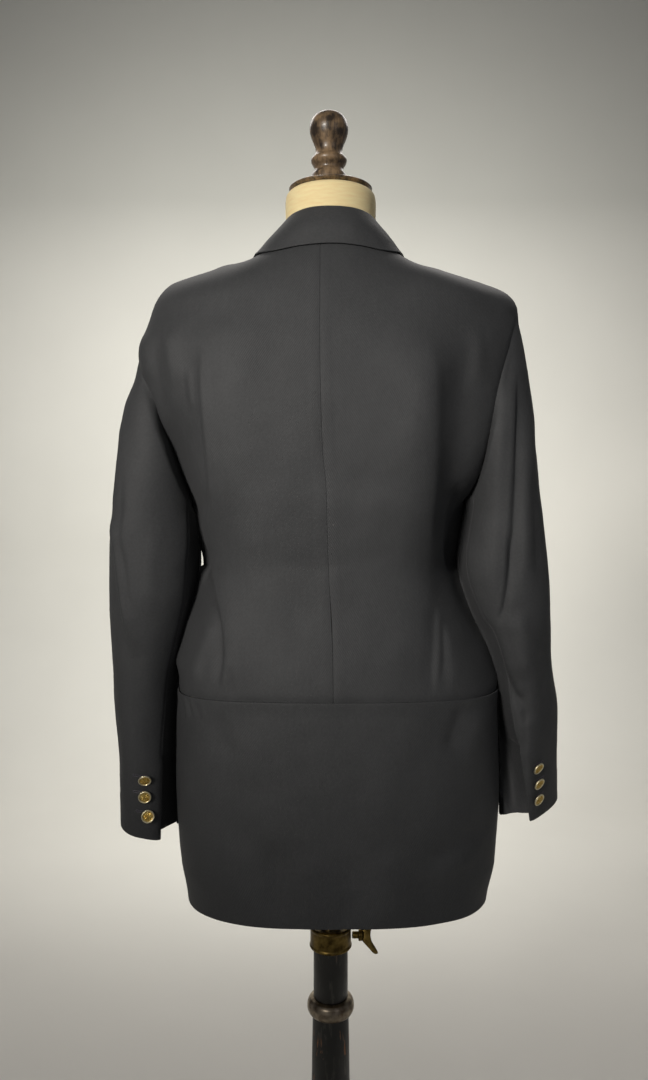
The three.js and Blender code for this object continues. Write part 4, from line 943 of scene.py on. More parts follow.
def sewn_shift(edge, names):
    """How far the pieces that an edge is sewn to have moved from their smooth form, all along it."""
    flat = np.concatenate([SHELLS[name]["flat"] for name in names])
    moved = np.concatenate([SHELLS[name]["moved"] for name in names])
    shift = np.empty_like(edge)
    for k, spot in enumerate(edge):
        distance = np.linalg.norm(flat - spot, axis=1)
        near = np.argpartition(distance, NEIGHBOURS)[:NEIGHBOURS]
        weight = 1 / (distance[near] + SHIFT_SOFT)
        shift[k] = (moved[near] * weight[:, None]).sum(0) / weight.sum()
    return np.stack([blurred(shift[:, axis], SHIFT_BLUR) for axis in range(3)], -1)


def cloth(name, patch, group, across=(0, 1), knots=(0, 1), margins="ssss", rolls=(), bands=(), strength=1.0,
          edge_thick=1.0, fine=True, sewn_to=()):
    """Makes one cloth piece. margins holds a letter for the top, bottom, first and last edge: s for a
    sewn edge, which stops at its seam, and f for a free one. rolls lift the cloth towards an edge, and
    bands raise a strip along it. fine is for the pieces with the most folds. The top edge follows the
    pieces that it is sewn to."""
    sizes = bpy.context.scene.blazer_cloth
    thick = sizes.thickness / MM
    short = {"s": thick / 2 - SEAM_OVERLAP, "f": thick / 2}
    pitch = (sizes.fine_pitch if fine else sizes.pitch) / MM
    u, v = lay_out(patch, across, knots, pitch, [short[letter] for letter in margins], group == "body")
    flat = patch(u, v)
    normals = grid_normals(flat)
    middle = sleeve_middle(group, flat) if "sleeve" in group else flat * (0, 0, 1)
    flip = -1 if np.mean(dot(normals, flat - middle)) < 0 else 1
    normals = normals * flip
    from_top = edge_distance(flat, "top")
    free = ramp(from_top, 0, HEAD_REACH)[..., None] if sewn_to else 1
    folds = strength * sizes.folds
    sunk = relief(SUNK.get(name, SUNK.get(group, ())), flat, normals)
    if name in SUNK:
        sunk *= ramp(edge_distance(flat, "last"), 0, HOLLOW_REACH)
    raised = flat + free * folds * relief(SWELLS.get(group, ()), flat, normals)[..., None] * normals
    raised[..., 1:2] += free * folds * sunk[..., None]
    if sewn_to:
        shift = sewn_shift(flat[0], sewn_to)
        raised += (1 - ramp(from_top, 0, HEAD_BLEND))[..., None] * shift
    normals = grid_normals(raised) * flip
    height = folds * (relief(CREASES[group], raised, normals) + wobble(flat))
    for edge, rise, width in rolls:
        height += rise * np.exp(-((edge_distance(flat, edge) / width) ** 2))
    for edge, rise, width in bands:
        height += rise * ramp(width - edge_distance(flat, edge), -BAND_STEP, BAND_STEP)
    raised = raised + free * normals * height[..., None]
    normals = grid_normals(raised) * flip
    points, faces, grid = closed_shell(raised, normals, thick, edge_thick)
    if flip < 0:
        faces = faces[:, ::-1]
    down = lengths_along(flat[..., 2:] if group == "body" else flat, 0)
    uv = np.stack([lengths_along(flat, 1), -down], -1).reshape(-1, 2)[grid]
    made = mesh_object(f"{name}_cloth", points, faces, uv)
    shell = {"flat": flat, "moved": raised - flat, "outer": raised + normals * thick / 2, "normals": normals}
    SHELLS[name] = {key: values.reshape(-1, 3) for key, values in shell.items()}
    return made


def sleeve_middle(group, points):
    side = group.split("_")[0]
    z = np.minimum(points[..., 2], BICEPS)
    x = SLEEVE[side]("x", z) * (1 if side == "left" else -1)
    return np.stack([x, SLEEVE[side]("y", z), points[..., 2]], -1)


def finish_cloth(made):
    """Gives a cloth piece its wool and body, and lets it stand for its node."""
    node = made.name.removesuffix("_cloth")
    made.data.materials.append(material("wool_gabardine"))
    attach(made, "form")
    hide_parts(node)


# ---- Materials ------------------------------------------------------------------------------------


def linear(code):
    """An sRGB hex colour as linear red, green, blue and alpha."""
    channels = [int(code[i:i + 2], 16) / 255 for i in (0, 2, 4)]
    return [c / 12.92 if c <= 0.04045 else ((c + 0.055) / 1.055) ** 2.4 for c in channels] + [1.0]


def add_node(tree, kind, settings=None, inputs=None):
    """Adds a node with its settings; an input is a value or another node's output."""
    made = tree.nodes.new(kind)
    for name, value in (settings or {}).items():
        setattr(made, name, value)
    for name, value in (inputs or {}).items():
        socket = made.inputs[name]
        if isinstance(value, bpy.types.NodeSocket):
            tree.links.new(value, socket)
        else:
            socket.default_value = value
    return made


def new_material(name, surface):
    """A material with a shader set by its constants, ready for its nodes."""
    made = bpy.data.materials.new(name)
    made.use_nodes = True
    shader = made.node_tree.nodes["Principled BSDF"]
    for socket, value in surface.items():
        shader.inputs[socket].default_value = value
    return made, made.node_tree, shader


def join(tree, kind, settings=None, inputs=None):
    """Adds a node and gives back its first output."""
    return add_node(tree, kind, settings, inputs).outputs[0]


def object_place(tree):
    return add_node(tree, "ShaderNodeTexCoord").outputs["Object"]


def stretched(tree, place, scale=(1.0, 1.0, 1.0), turn=(0, 0, 0)):
    return join(tree, "ShaderNodeMapping", None, {"Vector": place, "Scale": scale, "Rotation": turn})


def noise(tree, place, scale, detail, distortion=0.0):
    """Cloudy unevenness from 0 to 1; scale is cells to a metre."""
    return join(tree, "ShaderNodeTexNoise", None, {
        "Vector": place, "Scale": scale, "Detail": detail, "Distortion": distortion})


def threads(tree, place, direction, gap, distortion, roughness):
    """Threads running side by side, a gap apart in metres."""
    return add_node(tree, "ShaderNodeTexWave", {"bands_direction": direction}, {
        "Vector": place, "Scale": WAVE_TURN / gap, "Distortion": distortion, "Detail": 2.0,
        "Detail Scale": roughness}).outputs["Fac"]


def times_plus(tree, value, factor, more):
    return join(tree, "ShaderNodeMath", {"operation": "MULTIPLY_ADD"}, {0: value, 1: factor, 2: more})


def spread(tree, value, low, high, to_low=0.0, to_high=1.0):
    """Stretches the stretch from low to high over another one, and cuts off what lies outside."""
    return join(tree, "ShaderNodeMapRange", None, {
        "Value": value, "From Min": low, "From Max": high, "To Min": to_low, "To Max": to_high})


def mixed(tree, share, first, second):
    """Two colours mixed by a share."""
    return add_node(tree, "ShaderNodeMix", {"data_type": "RGBA"}, {0: share, 6: first, 7: second}).outputs[2]


def dress(made, tree, shader, colour, height=None, strength=0.0, depth=0.0, gloss=None):
    """Joins a material's colour, roughness and raised surface to its shader; depth is in metres."""
    tree.links.new(colour, shader.inputs["Base Color"])
    if gloss is not None:
        tree.links.new(gloss, shader.inputs["Roughness"])
    if height is not None:
        raised = join(tree, "ShaderNodeBump", None, {
            "Height": height, "Strength": strength, "Distance": depth})
        tree.links.new(raised, shader.inputs["Normal"])
    return made


WAVE_TURN = 0.314       # a wave texture's scale for lines one metre apart


def wool_gabardine():
    """Worsted wool gabardine, woven in a steep twill and pressed: dark, matt, with a faint dry bloom of
    fibre ends, small tonal flecks from the melange yarn, and a few caught threads."""
    colours = bpy.context.scene.blazer_colours
    made, tree, shader = new_material("wool_gabardine", {
        "Roughness": 0.68, "Sheen Weight": 0.2, "Sheen Roughness": 0.4, "Sheen Tint": linear("8a8a8c"),
        "Specular IOR Level": 0.36,
    })
    cloth_uv = join(tree, "ShaderNodeUVMap", {"uv_map": "cloth"})
    place = object_place(tree)
    # The twill's lines are 0.5 mm apart in the cloth; they are drawn at 1.7 mm, the finest that shows.
    twill = threads(tree, stretched(tree, cloth_uv, turn=(0, 0, math.radians(27))), "X", 0.0017, 1.2, 3.0)
    flecks = noise(tree, place, 420.0, 3.0)
    # Yarn runs up and down the cloth, so the slow streaks are drawn out along the grain.
    streaks = noise(tree, stretched(tree, cloth_uv, (1.0, 0.16, 1.0)), 190.0, 3.0)
    clouds = noise(tree, place, 16.0, 3.0)
    tone = times_plus(tree, streaks, 0.3, flecks)
    tone = times_plus(tree, clouds, 0.8, tone)
    tone = times_plus(tree, twill, 0.1, tone)
    base = mixed(tree, spread(tree, tone, 0.6, 1.6), [*colours.wool_dark, 1.0], [*colours.wool_light, 1.0])
    # A caught thread or a speck of lint every few centimetres.
    lint = add_node(tree, "ShaderNodeTexVoronoi", {"feature": "F1"}, {"Vector": place, "Scale": 26.0})
    speck = spread(tree, lint.outputs["Distance"], 0.022, 0.012, 0.0, 0.35)
    worn = mixed(tree, speck, base, linear("8a8882"))
    return dress(made, tree, shader, worn, times_plus(tree, flecks, 1.3, twill), 0.5, 0.00022)


def calico():
    """Unbleached cotton calico stretched over the form: a plain weave, warm cream, matt, with slubs."""
    colours = bpy.context.scene.blazer_colours
    made, tree, shader = new_material("cotton_calico", {
        "Roughness": 0.88, "Sheen Weight": 0.12, "Sheen Roughness": 0.5, "Specular IOR Level": 0.3})
    place = object_place(tree)
    # Threads 0.4 mm apart, drawn at 1.2 mm; slubs run round the form.
    warp, weft = (threads(tree, place, direction, 0.0012, 1.5, 2.0) for direction in "XZ")
    weave = times_plus(tree, warp, 1.0, weft)
    slubs = noise(tree, stretched(tree, place, (1.0, 1.0, 6.0)), 60.0, 4.0)
    tone = times_plus(tree, weave, 0.12, slubs)
    base = mixed(tree, tone, [*colours.calico_dark, 1.0], [*colours.calico_light, 1.0])
    return dress(made, tree, shader, base, weave, 0.35, 0.0002)


def ebonised_wood():
    """Turned beech, stained dark and polished: brown grain shows through, rubbed lighter on high places."""
    made, tree, shader = new_material("ebonised_beech", {
        "Roughness": 0.34, "Coat Weight": 0.25, "Coat Roughness": 0.22, "IOR": 1.5})
    place = object_place(tree)
    grain = noise(tree, stretched(tree, place, (1.0, 1.0, 0.12)), 420.0, 5.0, 0.6)
    rubbed = noise(tree, place, 75.0, 5.0)
    share = times_plus(tree, grain, 0.5, rubbed)
    base = mixed(tree, spread(tree, share, 0.62, 0.92), linear("352b22"), linear("8f7658"))
    return dress(made, tree, shader, base, share, 0.3, 0.0004, spread(tree, rubbed, 0.0, 1.0, 0.26, 0.5))


def painted_pole():
    """Black shellac on a turned pole, scraped through in long strokes to the orange-brown wood."""
    made, tree, shader = new_material("scraped_black_pole", {
        "Roughness": 0.42, "Coat Weight": 0.12, "Coat Roughness": 0.3, "IOR": 1.5})
    place = object_place(tree)
    strokes = noise(tree, stretched(tree, place, (1.0, 1.0, 0.2), (0.12, 0.2, 0)), 210.0, 4.0, 0.8)
    areas = noise(tree, place, 22.0, 2.0)
    scraped = join(tree, "ShaderNodeMath", {"operation": "MULTIPLY"}, {0: strokes, 1: areas})
    bare = spread(tree, scraped, 0.36, 0.42)
    dusty = spread(tree, strokes, 0.56, 0.72, 0.0, 0.5)
    base = mixed(tree, bare, mixed(tree, dusty, linear("1d1c18"), linear("5d5a52")), linear("8a5a34"))
    # The paint lies on the wood, so a bare place is lower.
    paint = spread(tree, bare, 0.0, 1.0, 1.0, 0.0)
    return dress(made, tree, shader, base, paint, 0.5, 0.0004, spread(tree, scraped, 0.1, 0.45, 0.3, 0.65))


def worn_metal(name, dark, light, painted_shade, scale, smooth, rough):
    """Cast or stamped metal that handling keeps bright on its faces, with tarnish in patches and a painted
    shade in its hollows and where other parts come close.
    """
    made, tree, shader = new_material(name, {"Metallic": 1.0, "Roughness": smooth})
    place = object_place(tree)
    tarnish = noise(tree, place, scale, 5.0)
    scratches = noise(tree, place, scale * 7, 3.0, 1.5)
    base = mixed(tree, spread(tree, tarnish, 0.32, 0.68), linear(dark), linear(light))
    # Painted shade: an occlusion mask turns the colour to the darker shade colour in hollows and next to
    # other parts.
    hollow = add_node(tree, "ShaderNodeAmbientOcclusion", {"samples": 6}, {"Distance": 0.0025})
    depth = spread(tree, hollow.outputs["AO"], 0.35, 0.85)
    with_painted_shade = mixed(tree, depth, linear(painted_shade), base)
    return dress(made, tree, shader, with_painted_shade, scratches, 0.25, 0.00012,
                 spread(tree, scratches, 0.0, 1.0, smooth, rough))


def thread(name, dark, light):
    """Twisted buttonhole twist: short pale strokes where the stitches catch the light."""
    made, tree, shader = new_material(name, {"Roughness": 0.6, "Sheen Weight": 0.4, "Sheen Roughness": 0.3})
    strands = noise(tree, object_place(tree), 1500.0, 2.0)
    return dress(made, tree, shader, mixed(tree, strands, linear(dark), linear(light)))


def polished_horn():
    """Polished horn: near black with brown clouds under a smooth surface."""
    made, tree, shader = new_material("polished_horn", {"Roughness": 0.25, "IOR": 1.54, "Coat Weight": 0.2})
    clouds = noise(tree, object_place(tree), 170.0, 4.0, 1.4)
    base = mixed(tree, spread(tree, clouds, 0.4, 0.75), linear("12100e"), linear("4a3424"))
    return dress(made, tree, shader, base)


def studio_paint():
    """Matt emulsion on the studio's cove: pale warm grey with a barely uneven roller texture."""
    made, tree, shader = new_material("studio_emulsion", {"Roughness": 0.95, "Specular IOR Level": 0.1})
    roller = noise(tree, object_place(tree), 3.0, 2.0)
    return dress(made, tree, shader, mixed(tree, roller, linear("d8d6d0"), linear("dedcd6")))


MATERIALS = {
    "wool_gabardine": wool_gabardine,
    "cotton_calico": calico,
    "ebonised_beech": ebonised_wood,
    "scraped_black_pole": painted_pole,
    # The fourth colour of each metal is its painted shade, used in hollows and beside other parts.
    "gilt_brass": lambda: worn_metal("gilt_brass", "cfa548", "f6dc8c", "6a4e1e", 500.0, 0.3, 0.5),
    "pale_gilt_rim": lambda: worn_metal("pale_gilt_rim", "f0e2b0", "fff6d8", "b09a62", 500.0, 0.34, 0.5),
    "aged_bronze": lambda: worn_metal("aged_bronze", "4c3e20", "8a7440", "241c10", 150.0, 0.3, 0.5),
    "silvered_ring": lambda: worn_metal("silvered_ring", "6b5c4c", "a89c8a", "33271d", 120.0, 0.26, 0.45),
    "brushed_steel": lambda: worn_metal("brushed_steel", "6f6e6a", "a3a29d", "3c3b38", 60.0, 0.24, 0.4),
    "buttonhole_twist": lambda: thread("buttonhole_twist", "2c2a30", "5c5862"),
    "polished_horn": polished_horn,
    "studio_emulsion": studio_paint,
}


def material(name):
    """A material by name, made the first time it is asked for."""
    return bpy.data.materials.get(name) or MATERIALS[name]()


# ---- Turned and cast pieces, by Blender's own tools -----------------------------------------------


EDGE_ANGLE = 40         # degrees; a sharper corner is shaded as an edge
THREAD_ANGLE = 50
CORNER_SHARE = 2.2      # a corner is cut back by at most one part in this many of the line beside it
POINT = 0.05            # the radius that stands for a turned piece's middle
ROUND_STEPS = 3
MERGE = 0.00001         # metres within which a turned ring's first and last points are one


def nothing_selected():
    if bpy.context.mode != "OBJECT":
        bpy.ops.object.mode_set(mode="OBJECT")
    bpy.ops.object.select_all(action="DESELECT")


def at_origin(made, name):
    """Names a piece and puts its place into its mesh."""
    made.name = name
    made.data.name = name
    bpy.ops.object.transform_apply(location=True, rotation=True, scale=True)
    return made


def rounded(profile, radius):
    """A turned profile with each inner corner rounded over."""
    done = [profile[0]]
    for before, here, after in zip(profile, profile[1:], profile[2:]):
        before, here, after = Vector(before), Vector(here), Vector(after)
        inward, outward = before - here, after - here
        cut = min(radius, inward.length / CORNER_SHARE, outward.length / CORNER_SHARE)
        start, end = here + inward.normalized() * cut, here + outward.normalized() * cut
        for k in range(ROUND_STEPS + 1):
            t = k / ROUND_STEPS
            done.append(tuple(start * (1 - t) ** 2 + here * 2 * t * (1 - t) + end * t**2))
    return done + [profile[-1]]


def turned(name, profile, segments=72, centre=(0, 0), soft=0.6):
    """Turns a profile of (radius, height) rows, foot first: a disc, drawn up and resized ring by ring."""
    nothing_selected()
    rows = [(max(r, POINT), z) for r, z in rounded(profile, soft)]
    x, y = centre
    foot_radius, foot_z = rows[0]
    bpy.ops.mesh.primitive_circle_add(
        vertices=segments, radius=foot_radius * MM, fill_type="NGON", location=(x * MM, y * MM, foot_z * MM))
    made = bpy.context.object
    bpy.ops.object.mode_set(mode="EDIT")
    bpy.ops.mesh.select_mode(type="FACE")
    bpy.ops.mesh.select_all(action="SELECT")
    for (r0, z0), (r1, z1) in zip(rows, rows[1:]):
        bpy.ops.mesh.extrude_region_move(TRANSFORM_OT_translate={"value": (0, 0, (z1 - z0) * MM)})
        bpy.ops.transform.resize(value=(r1 / r0, r1 / r0, 1), center_override=(x * MM, y * MM, z1 * MM))
    bpy.ops.mesh.select_all(action="SELECT")
    bpy.ops.mesh.normals_make_consistent(inside=False)
    bpy.ops.object.mode_set(mode="OBJECT")
    bpy.ops.object.shade_smooth_by_angle(angle=math.radians(EDGE_ANGLE))
    return at_origin(made, name)


def turned_tube(name, profile, soft):
    """Turns a ring-shaped section: its outline as a face beside the axis, spun right round."""
    nothing_selected()
    outline = rounded(list(profile), soft)
    outline = [(r, z) for k, (r, z) in enumerate(outline) if k == 0 or (r, z) != outline[k - 1]]
    mesh = bpy.data.meshes.new(name)
    edges = [(k, (k + 1) % len(outline)) for k in range(len(outline))]
    mesh.from_pydata([(r * MM, 0, z * MM) for r, z in outline], edges, [])
    made = in_scene(name, mesh)
    bpy.context.view_layer.objects.active = made
    made.select_set(True)
    bpy.ops.object.mode_set(mode="EDIT")
    bpy.ops.mesh.select_all(action="SELECT")
    bpy.ops.mesh.spin(
        steps=SEGMENTS, angle=2 * math.pi, center=(0, 0, 0), axis=(0, 0, 1), use_auto_merge=True)
    bpy.ops.mesh.select_all(action="SELECT")
    bpy.ops.mesh.remove_doubles(threshold=MERGE)
    bpy.ops.mesh.normals_make_consistent(inside=False)
    bpy.ops.object.mode_set(mode="OBJECT")
    bpy.ops.object.shade_smooth_by_angle(angle=math.radians(EDGE_ANGLE))
    return made


def hard_piece(made, body, finish, node):
    """Gives a hard piece its finish and body, and lets it stand for its node."""
    made.data.materials.clear()
    made.data.materials.append(material(finish))
    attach(made, body)
    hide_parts(node)
    return made


BORE = 13.35            # of the pole and all that the rod slides in
SEGMENTS = 96
FINIAL_X = 2            # the finial stands a little off the axis

# The turned pieces: node, finish, body, slot, how far corners are rounded, and the profile of (radius,
# height) rows, foot first. One that doesn't start at the axis is a ring, and its profile goes round it.
TURNINGS = {
    "neck_plate_wood": ("neck_plate", "ebonised_beech", "form", "dark_wood", 1.2, [
        (0, 1511.2), (46, 1511.2), (49.5, 1513.6), (50, 1515), (46, 1517.2), (36, 1519.2), (24, 1521),
        (0, 1521)]),
    "finial_turning": ("finial", "ebonised_beech", "form", "dark_wood", 1.6, [
        (0, 1521.2), (21, 1521.2), (21.9, 1524), (21.8, 1527), (20.6, 1533), (17.5, 1536.4),
        (16.8, 1538.4), (17.2, 1541), (19.8, 1544.6), (21.3, 1547.4), (21.5, 1550), (20.6, 1552.4),
        (17.6, 1554.6), (16.2, 1557.6), (15.8, 1561.5), (16.8, 1566.5), (19.2, 1572), (21.6, 1578),
        (22.9, 1583.4), (23.2, 1588), (22.4, 1593.6), (20.4, 1598.6), (17.2, 1602.6), (13, 1605.6),
        (8, 1607.4), (0, 1608)]),
    "base_turning": ("base", "ebonised_beech", "stand", "dark_wood", 1.5, [
        (0, 0), (196, 0), (200, 4), (200, 15), (198, 18), (192, 21), (186, 21.6), (182, 23.4),
        (160, 24), (90, 30), (62, 33), (57, 34.5), (54, 37), (48, 38), (0, 38)]),
    "pole_lower_turning": ("pole_lower", "scraped_black_pole", "stand", "dark_wood", 0.9, [
        (0, 38.35), (25, 38.35), (29.5, 42), (31, 47), (30.6, 53), (27.4, 60), (24.8, 66), (24.4, 74),
        (25.4, 86), (25.3, 160), (25, 220), (23.5, 400), (22.2, 490), (21.5, 527.6), (BORE, 527.6),
        (BORE, 230), (0, 230)]),
    "pole_ring_turning": ("pole_ring", "silvered_ring", "stand", "dark_wood", 0.8, [
        (BORE, 528), (20.5, 528), (24.5, 529.2), (26.6, 532), (28, 536), (28, 540.5), (26.6, 545),
        (24.4, 547.6), (20.5, 549), (BORE, 549)]),
    "pole_upper_turning": ("pole_upper", "scraped_black_pole", "stand", "dark_wood", 0.5, [
        (BORE, 549.35), (20.5, 549.35), (20.5, 607.65), (BORE, 607.65)]),
    "clamp_collar_turning": ("clamp_collar", "aged_bronze", "stand", "bronze", 0.6, [
        (BORE, 608), (23.4, 608), (25.2, 609.2), (25.4, 611), (24.4, 612.6), (24.4, 629.4), (25.4, 631),
        (25.2, 632.8), (23.6, 634), (BORE, 634)]),
    "form_rod_turning": ("form_rod", "brushed_steel", "rod", "steel", 0.5, [
        (0, 330), (12, 330), (13, 331), (13, 840), (42, 844), (42, 851.6), (0, 851.6)]),
}


def turn_all(*names):
    """Turns pieces from their profiles and gives each its finish and body."""
    for name in names:
        node, finish, body, slot, soft, profile = TURNINGS[name]
        if profile[0][0] > 0:
            made = turned_tube(name, profile, soft)
        else:
            centre = (FINIAL_X if node == "finial" else 0, 0)
            made = turned(name, profile, SEGMENTS, centre, soft)
        hard_piece(made, body, finish, node)


# ---- Properties -----------------------------------------------------------------------------------


class BlazerCloth(bpy.types.PropertyGroup):
    """Sizes of the cloth shells."""

    thickness: bpy.props.FloatProperty(
        name="Cloth thickness", description="Thickness of the wool", default=0.0017, min=0.001,
        unit="LENGTH")
    pitch: bpy.props.FloatProperty(
        name="Mesh pitch", description="Distance between the points of a plain piece", default=0.0040,
        min=0.002, unit="LENGTH")
    fine_pitch: bpy.props.FloatProperty(
        name="Fine mesh pitch", description="Distance between the points of a piece with many folds",
        default=0.0028, min=0.0015, unit="LENGTH")
    folds: bpy.props.FloatProperty(
        name="Folds", description="Depth of every crease, as a share of its own", default=1.0, min=0.0,
        subtype="FACTOR")


class BlazerColours(bpy.types.PropertyGroup):
    """Colours of the cloths."""

    wool_dark: bpy.props.FloatVectorProperty(
        name="Wool, dark fleck", description="Darker tone of the wool", size=3, subtype="COLOR",
        default=linear("303132")[:3])
    wool_light: bpy.props.FloatVectorProperty(
        name="Wool, light fleck", description="Lighter tone of the wool", size=3, subtype="COLOR",
        default=linear("404142")[:3])
    calico_dark: bpy.props.FloatVectorProperty(
        name="Calico, dark", description="Darker tone of the form's cover", size=3, subtype="COLOR",
        default=linear("f2d092")[:3])
    calico_light: bpy.props.FloatVectorProperty(
        name="Calico, light", description="Lighter tone of the form's cover", size=3, subtype="COLOR",
        default=linear("fff0bc")[:3])


class BlazerLight(bpy.types.PropertyGroup):
    """Strength of the studio's lamps."""

    key: bpy.props.FloatProperty(name="Key", description="Main lamp", default=262.0, unit="POWER")
    fill: bpy.props.FloatProperty(
        name="Fill", description="Lamp on the other side", default=3.0, unit="POWER")
    wall: bpy.props.FloatProperty(
        name="Wall", description="Lamp on the backdrop", default=225.0, unit="POWER")
    floor: bpy.props.FloatProperty(
        name="Floor", description="Lamp over the floor", default=30.0, unit="POWER")
    sky: bpy.props.FloatProperty(
        name="Room light", description="Light from all round", default=0.12, subtype="FACTOR")


# ---- Operators ------------------------------------------------------------------------------------

SEW_DIP = -0.85         # a plain seam sinks this far
SEW_WIDTH = 2.6
SIDE_SEAMS = (("first", SEW_DIP, SEW_WIDTH), ("last", SEW_DIP, SEW_WIDTH))
HEM_BANDS = (("bottom", 0.35, HEM_ALLOWANCE), ("top", 0.3, ALLOWANCE))

# How each kind of piece is laid out and finished, in cloth's own words. A roll is an edge, how far the
# cloth rises there and how wide; a band is an edge, how far the strip along it rises and how deep it is.
MAKING = {
    "back": {"knots": (0, 1, 2, 3), "bands": (("first", 0.22, ALLOWANCE),),
             "rolls": (("first", -0.3, 2.2), ("last", -0.6, 4), ("bottom", -1.2, 4))},
    "front": {"knots": (0, 1, 2, 3), "fine": False,
              "rolls": (("last", -0.6, 4), ("bottom", SEW_DIP, SEW_WIDTH))},
    "back_peplum": {"margins": "sfss", "rolls": (("top", 1.1, 6), *SIDE_SEAMS), "bands": HEM_BANDS,
                    "edge_thick": 1.25},
    "front_peplum": {"margins": "sfsf", "rolls": (("top", 0.4, 5), SIDE_SEAMS[0]), "bands": HEM_BANDS,
                     "edge_thick": 1.25, "fine": False},
    "sleeve": {"margins": "sfss", "rolls": (("top", 0.9, 7), *SIDE_SEAMS), "edge_thick": 1.2,
               "bands": (("bottom", 0.25, CUFF_ALLOWANCE),)},
    "collar_fall": {"knots": (-2, -1, 0, 1), "margins": "ffff", "strength": 0.6, "edge_thick": 1.3,
                    "rolls": (("bottom", -1.9, 15),)},
    "collar_stand": {"margins": "fsff", "strength": 0.2},
    "lapel": {"across": (-1, 0, 1), "margins": "ssff", "strength": 0.5, "edge_thick": 1.3,
              "rolls": (("last", -0.8, 8),)},
}
SIDES = ("left", "right")


class BLAZER_OT_bodice(bpy.types.Operator):
    """Makes the bodice: two backs and two fronts"""

    bl_idname = "blazer.bodice"
    bl_label = "Bodice"

    def execute(self, context):
        for side in SIDES:
            for name in ("back", "front"):
                patch = bodice_patch(side, name == "front")
                finish_cloth(cloth(f"{name}_{side}", patch, "body", **MAKING[name]))
        return {"FINISHED"}


class BLAZER_OT_skirt(bpy.types.Operator):
    """Makes the lower panels, from the hip seam to the hem"""

    bl_idname = "blazer.skirt"
    bl_label = "Lower panels"

    def execute(self, context):
        finish_cloth(cloth("back_peplum", back_peplum_patch, "body", **MAKING["back_peplum"]))
        for side in SIDES:
            name = f"front_peplum_{side}"
            finish_cloth(cloth(name, front_peplum_patch(side), "body", **MAKING["front_peplum"]))
        return {"FINISHED"}


def cuff_row(side, z):
    """The sleeve's row at a height below the biceps."""
    return 1 + (BICEPS - z) / (BICEPS - CUFF[side]["over"])


class BLAZER_OT_sleeves(bpy.types.Operator):
    """Makes the two-piece sleeves"""

    bl_idname = "blazer.sleeves"
    bl_label = "Sleeves"

    def execute(self, context):
        for side in SIDES:
            for name, edge in (("top", "over"), ("under", "under")):
                knots = (0, 1, cuff_row(side, VENT[side]["top"]), cuff_row(side, CUFF[side][edge]))
                finish_cloth(cloth(
                    f"{name}_sleeve_{side}", sleeve_patch(side, name == "top"), f"{side}_sleeve", knots=knots,
                    fine=name == "top", sewn_to=(f"back_{side}", f"front_{side}"), **MAKING["sleeve"]))
        return {"FINISHED"}


class BLAZER_OT_collar(bpy.types.Operator):
    """Makes the collar and the lapels"""

    bl_idname = "blazer.collar"
    bl_label = "Collar and lapels"

    def execute(self, context):
        finish_cloth(cloth("collar_fall", fall_patch, "collar", **MAKING["collar_fall"]))
        finish_cloth(cloth("collar_stand", stand_patch, "lapels", **MAKING["collar_stand"]))
        for side in SIDES:
            lapel = cloth(f"lapel_{side}", lapel_patch(side), "lapels", **MAKING["lapel"])
            finish_cloth(lapel)
        return {"FINISHED"}


CUFF_SPAN = 150         # degrees of the cuff in which a button's place is looked for
CUFF_STEPS = 400
SETTLE_POINTS = 6       # points of a finished cloth that a place on it is read from
SETTLE_SOFT = 0.3       # keeps the nearest point from counting for everything


def cuff_place(side, z, inset):
    """The place on a cuff at a height and a distance round from the vent's edge, on the finished cloth."""
    row = cuff_row(side, z)
    elbow = SLEEVE[side]("elbow", z)
    angles = np.linspace(elbow, elbow + CUFF_SPAN, CUFF_STEPS)
    run = lengths_along(sleeve_point(side, angles, np.full_like(angles, row)), 0)
    angle = np.interp(inset, run, angles)
    return settle(f"top_sleeve_{side}", sleeve_point(side, angle, row))


def settle(name, point):
    """The point of a finished cloth nearest to one on its smooth form, and the normal there."""
    shell = SHELLS[name]
    flat, outside, normals = shell["flat"], shell["outer"], shell["normals"]
    gap = np.linalg.norm(flat - point, axis=1)
    near = np.argsort(gap)[:SETTLE_POINTS]
    weight = (1 / (gap[near] + SETTLE_SOFT))[:, None]
    weight = weight / weight.sum()
    moved = point + ((outside[near] - flat[near]) * weight).sum(0)
    return moved, unit((normals[near] * weight).sum(0))


def turn_to(normal, up=(0, 0, 1)):
    """The turn that points +Z along a normal, with +Y as near up as it can be."""
    z = Vector(normal).normalized()
    x = Vector(up).cross(z).normalized()
    y = z.cross(x)
    return Matrix((x, y, z)).transposed().to_4x4()


RAYS = {"count": 8, "height": 0.32, "reach": 0.74, "floor": 1.0}
RIM_START = 0.76        # the pale rim's inner edge, as a share of the radius
RIM_FOOT = 0.5          # and its foot


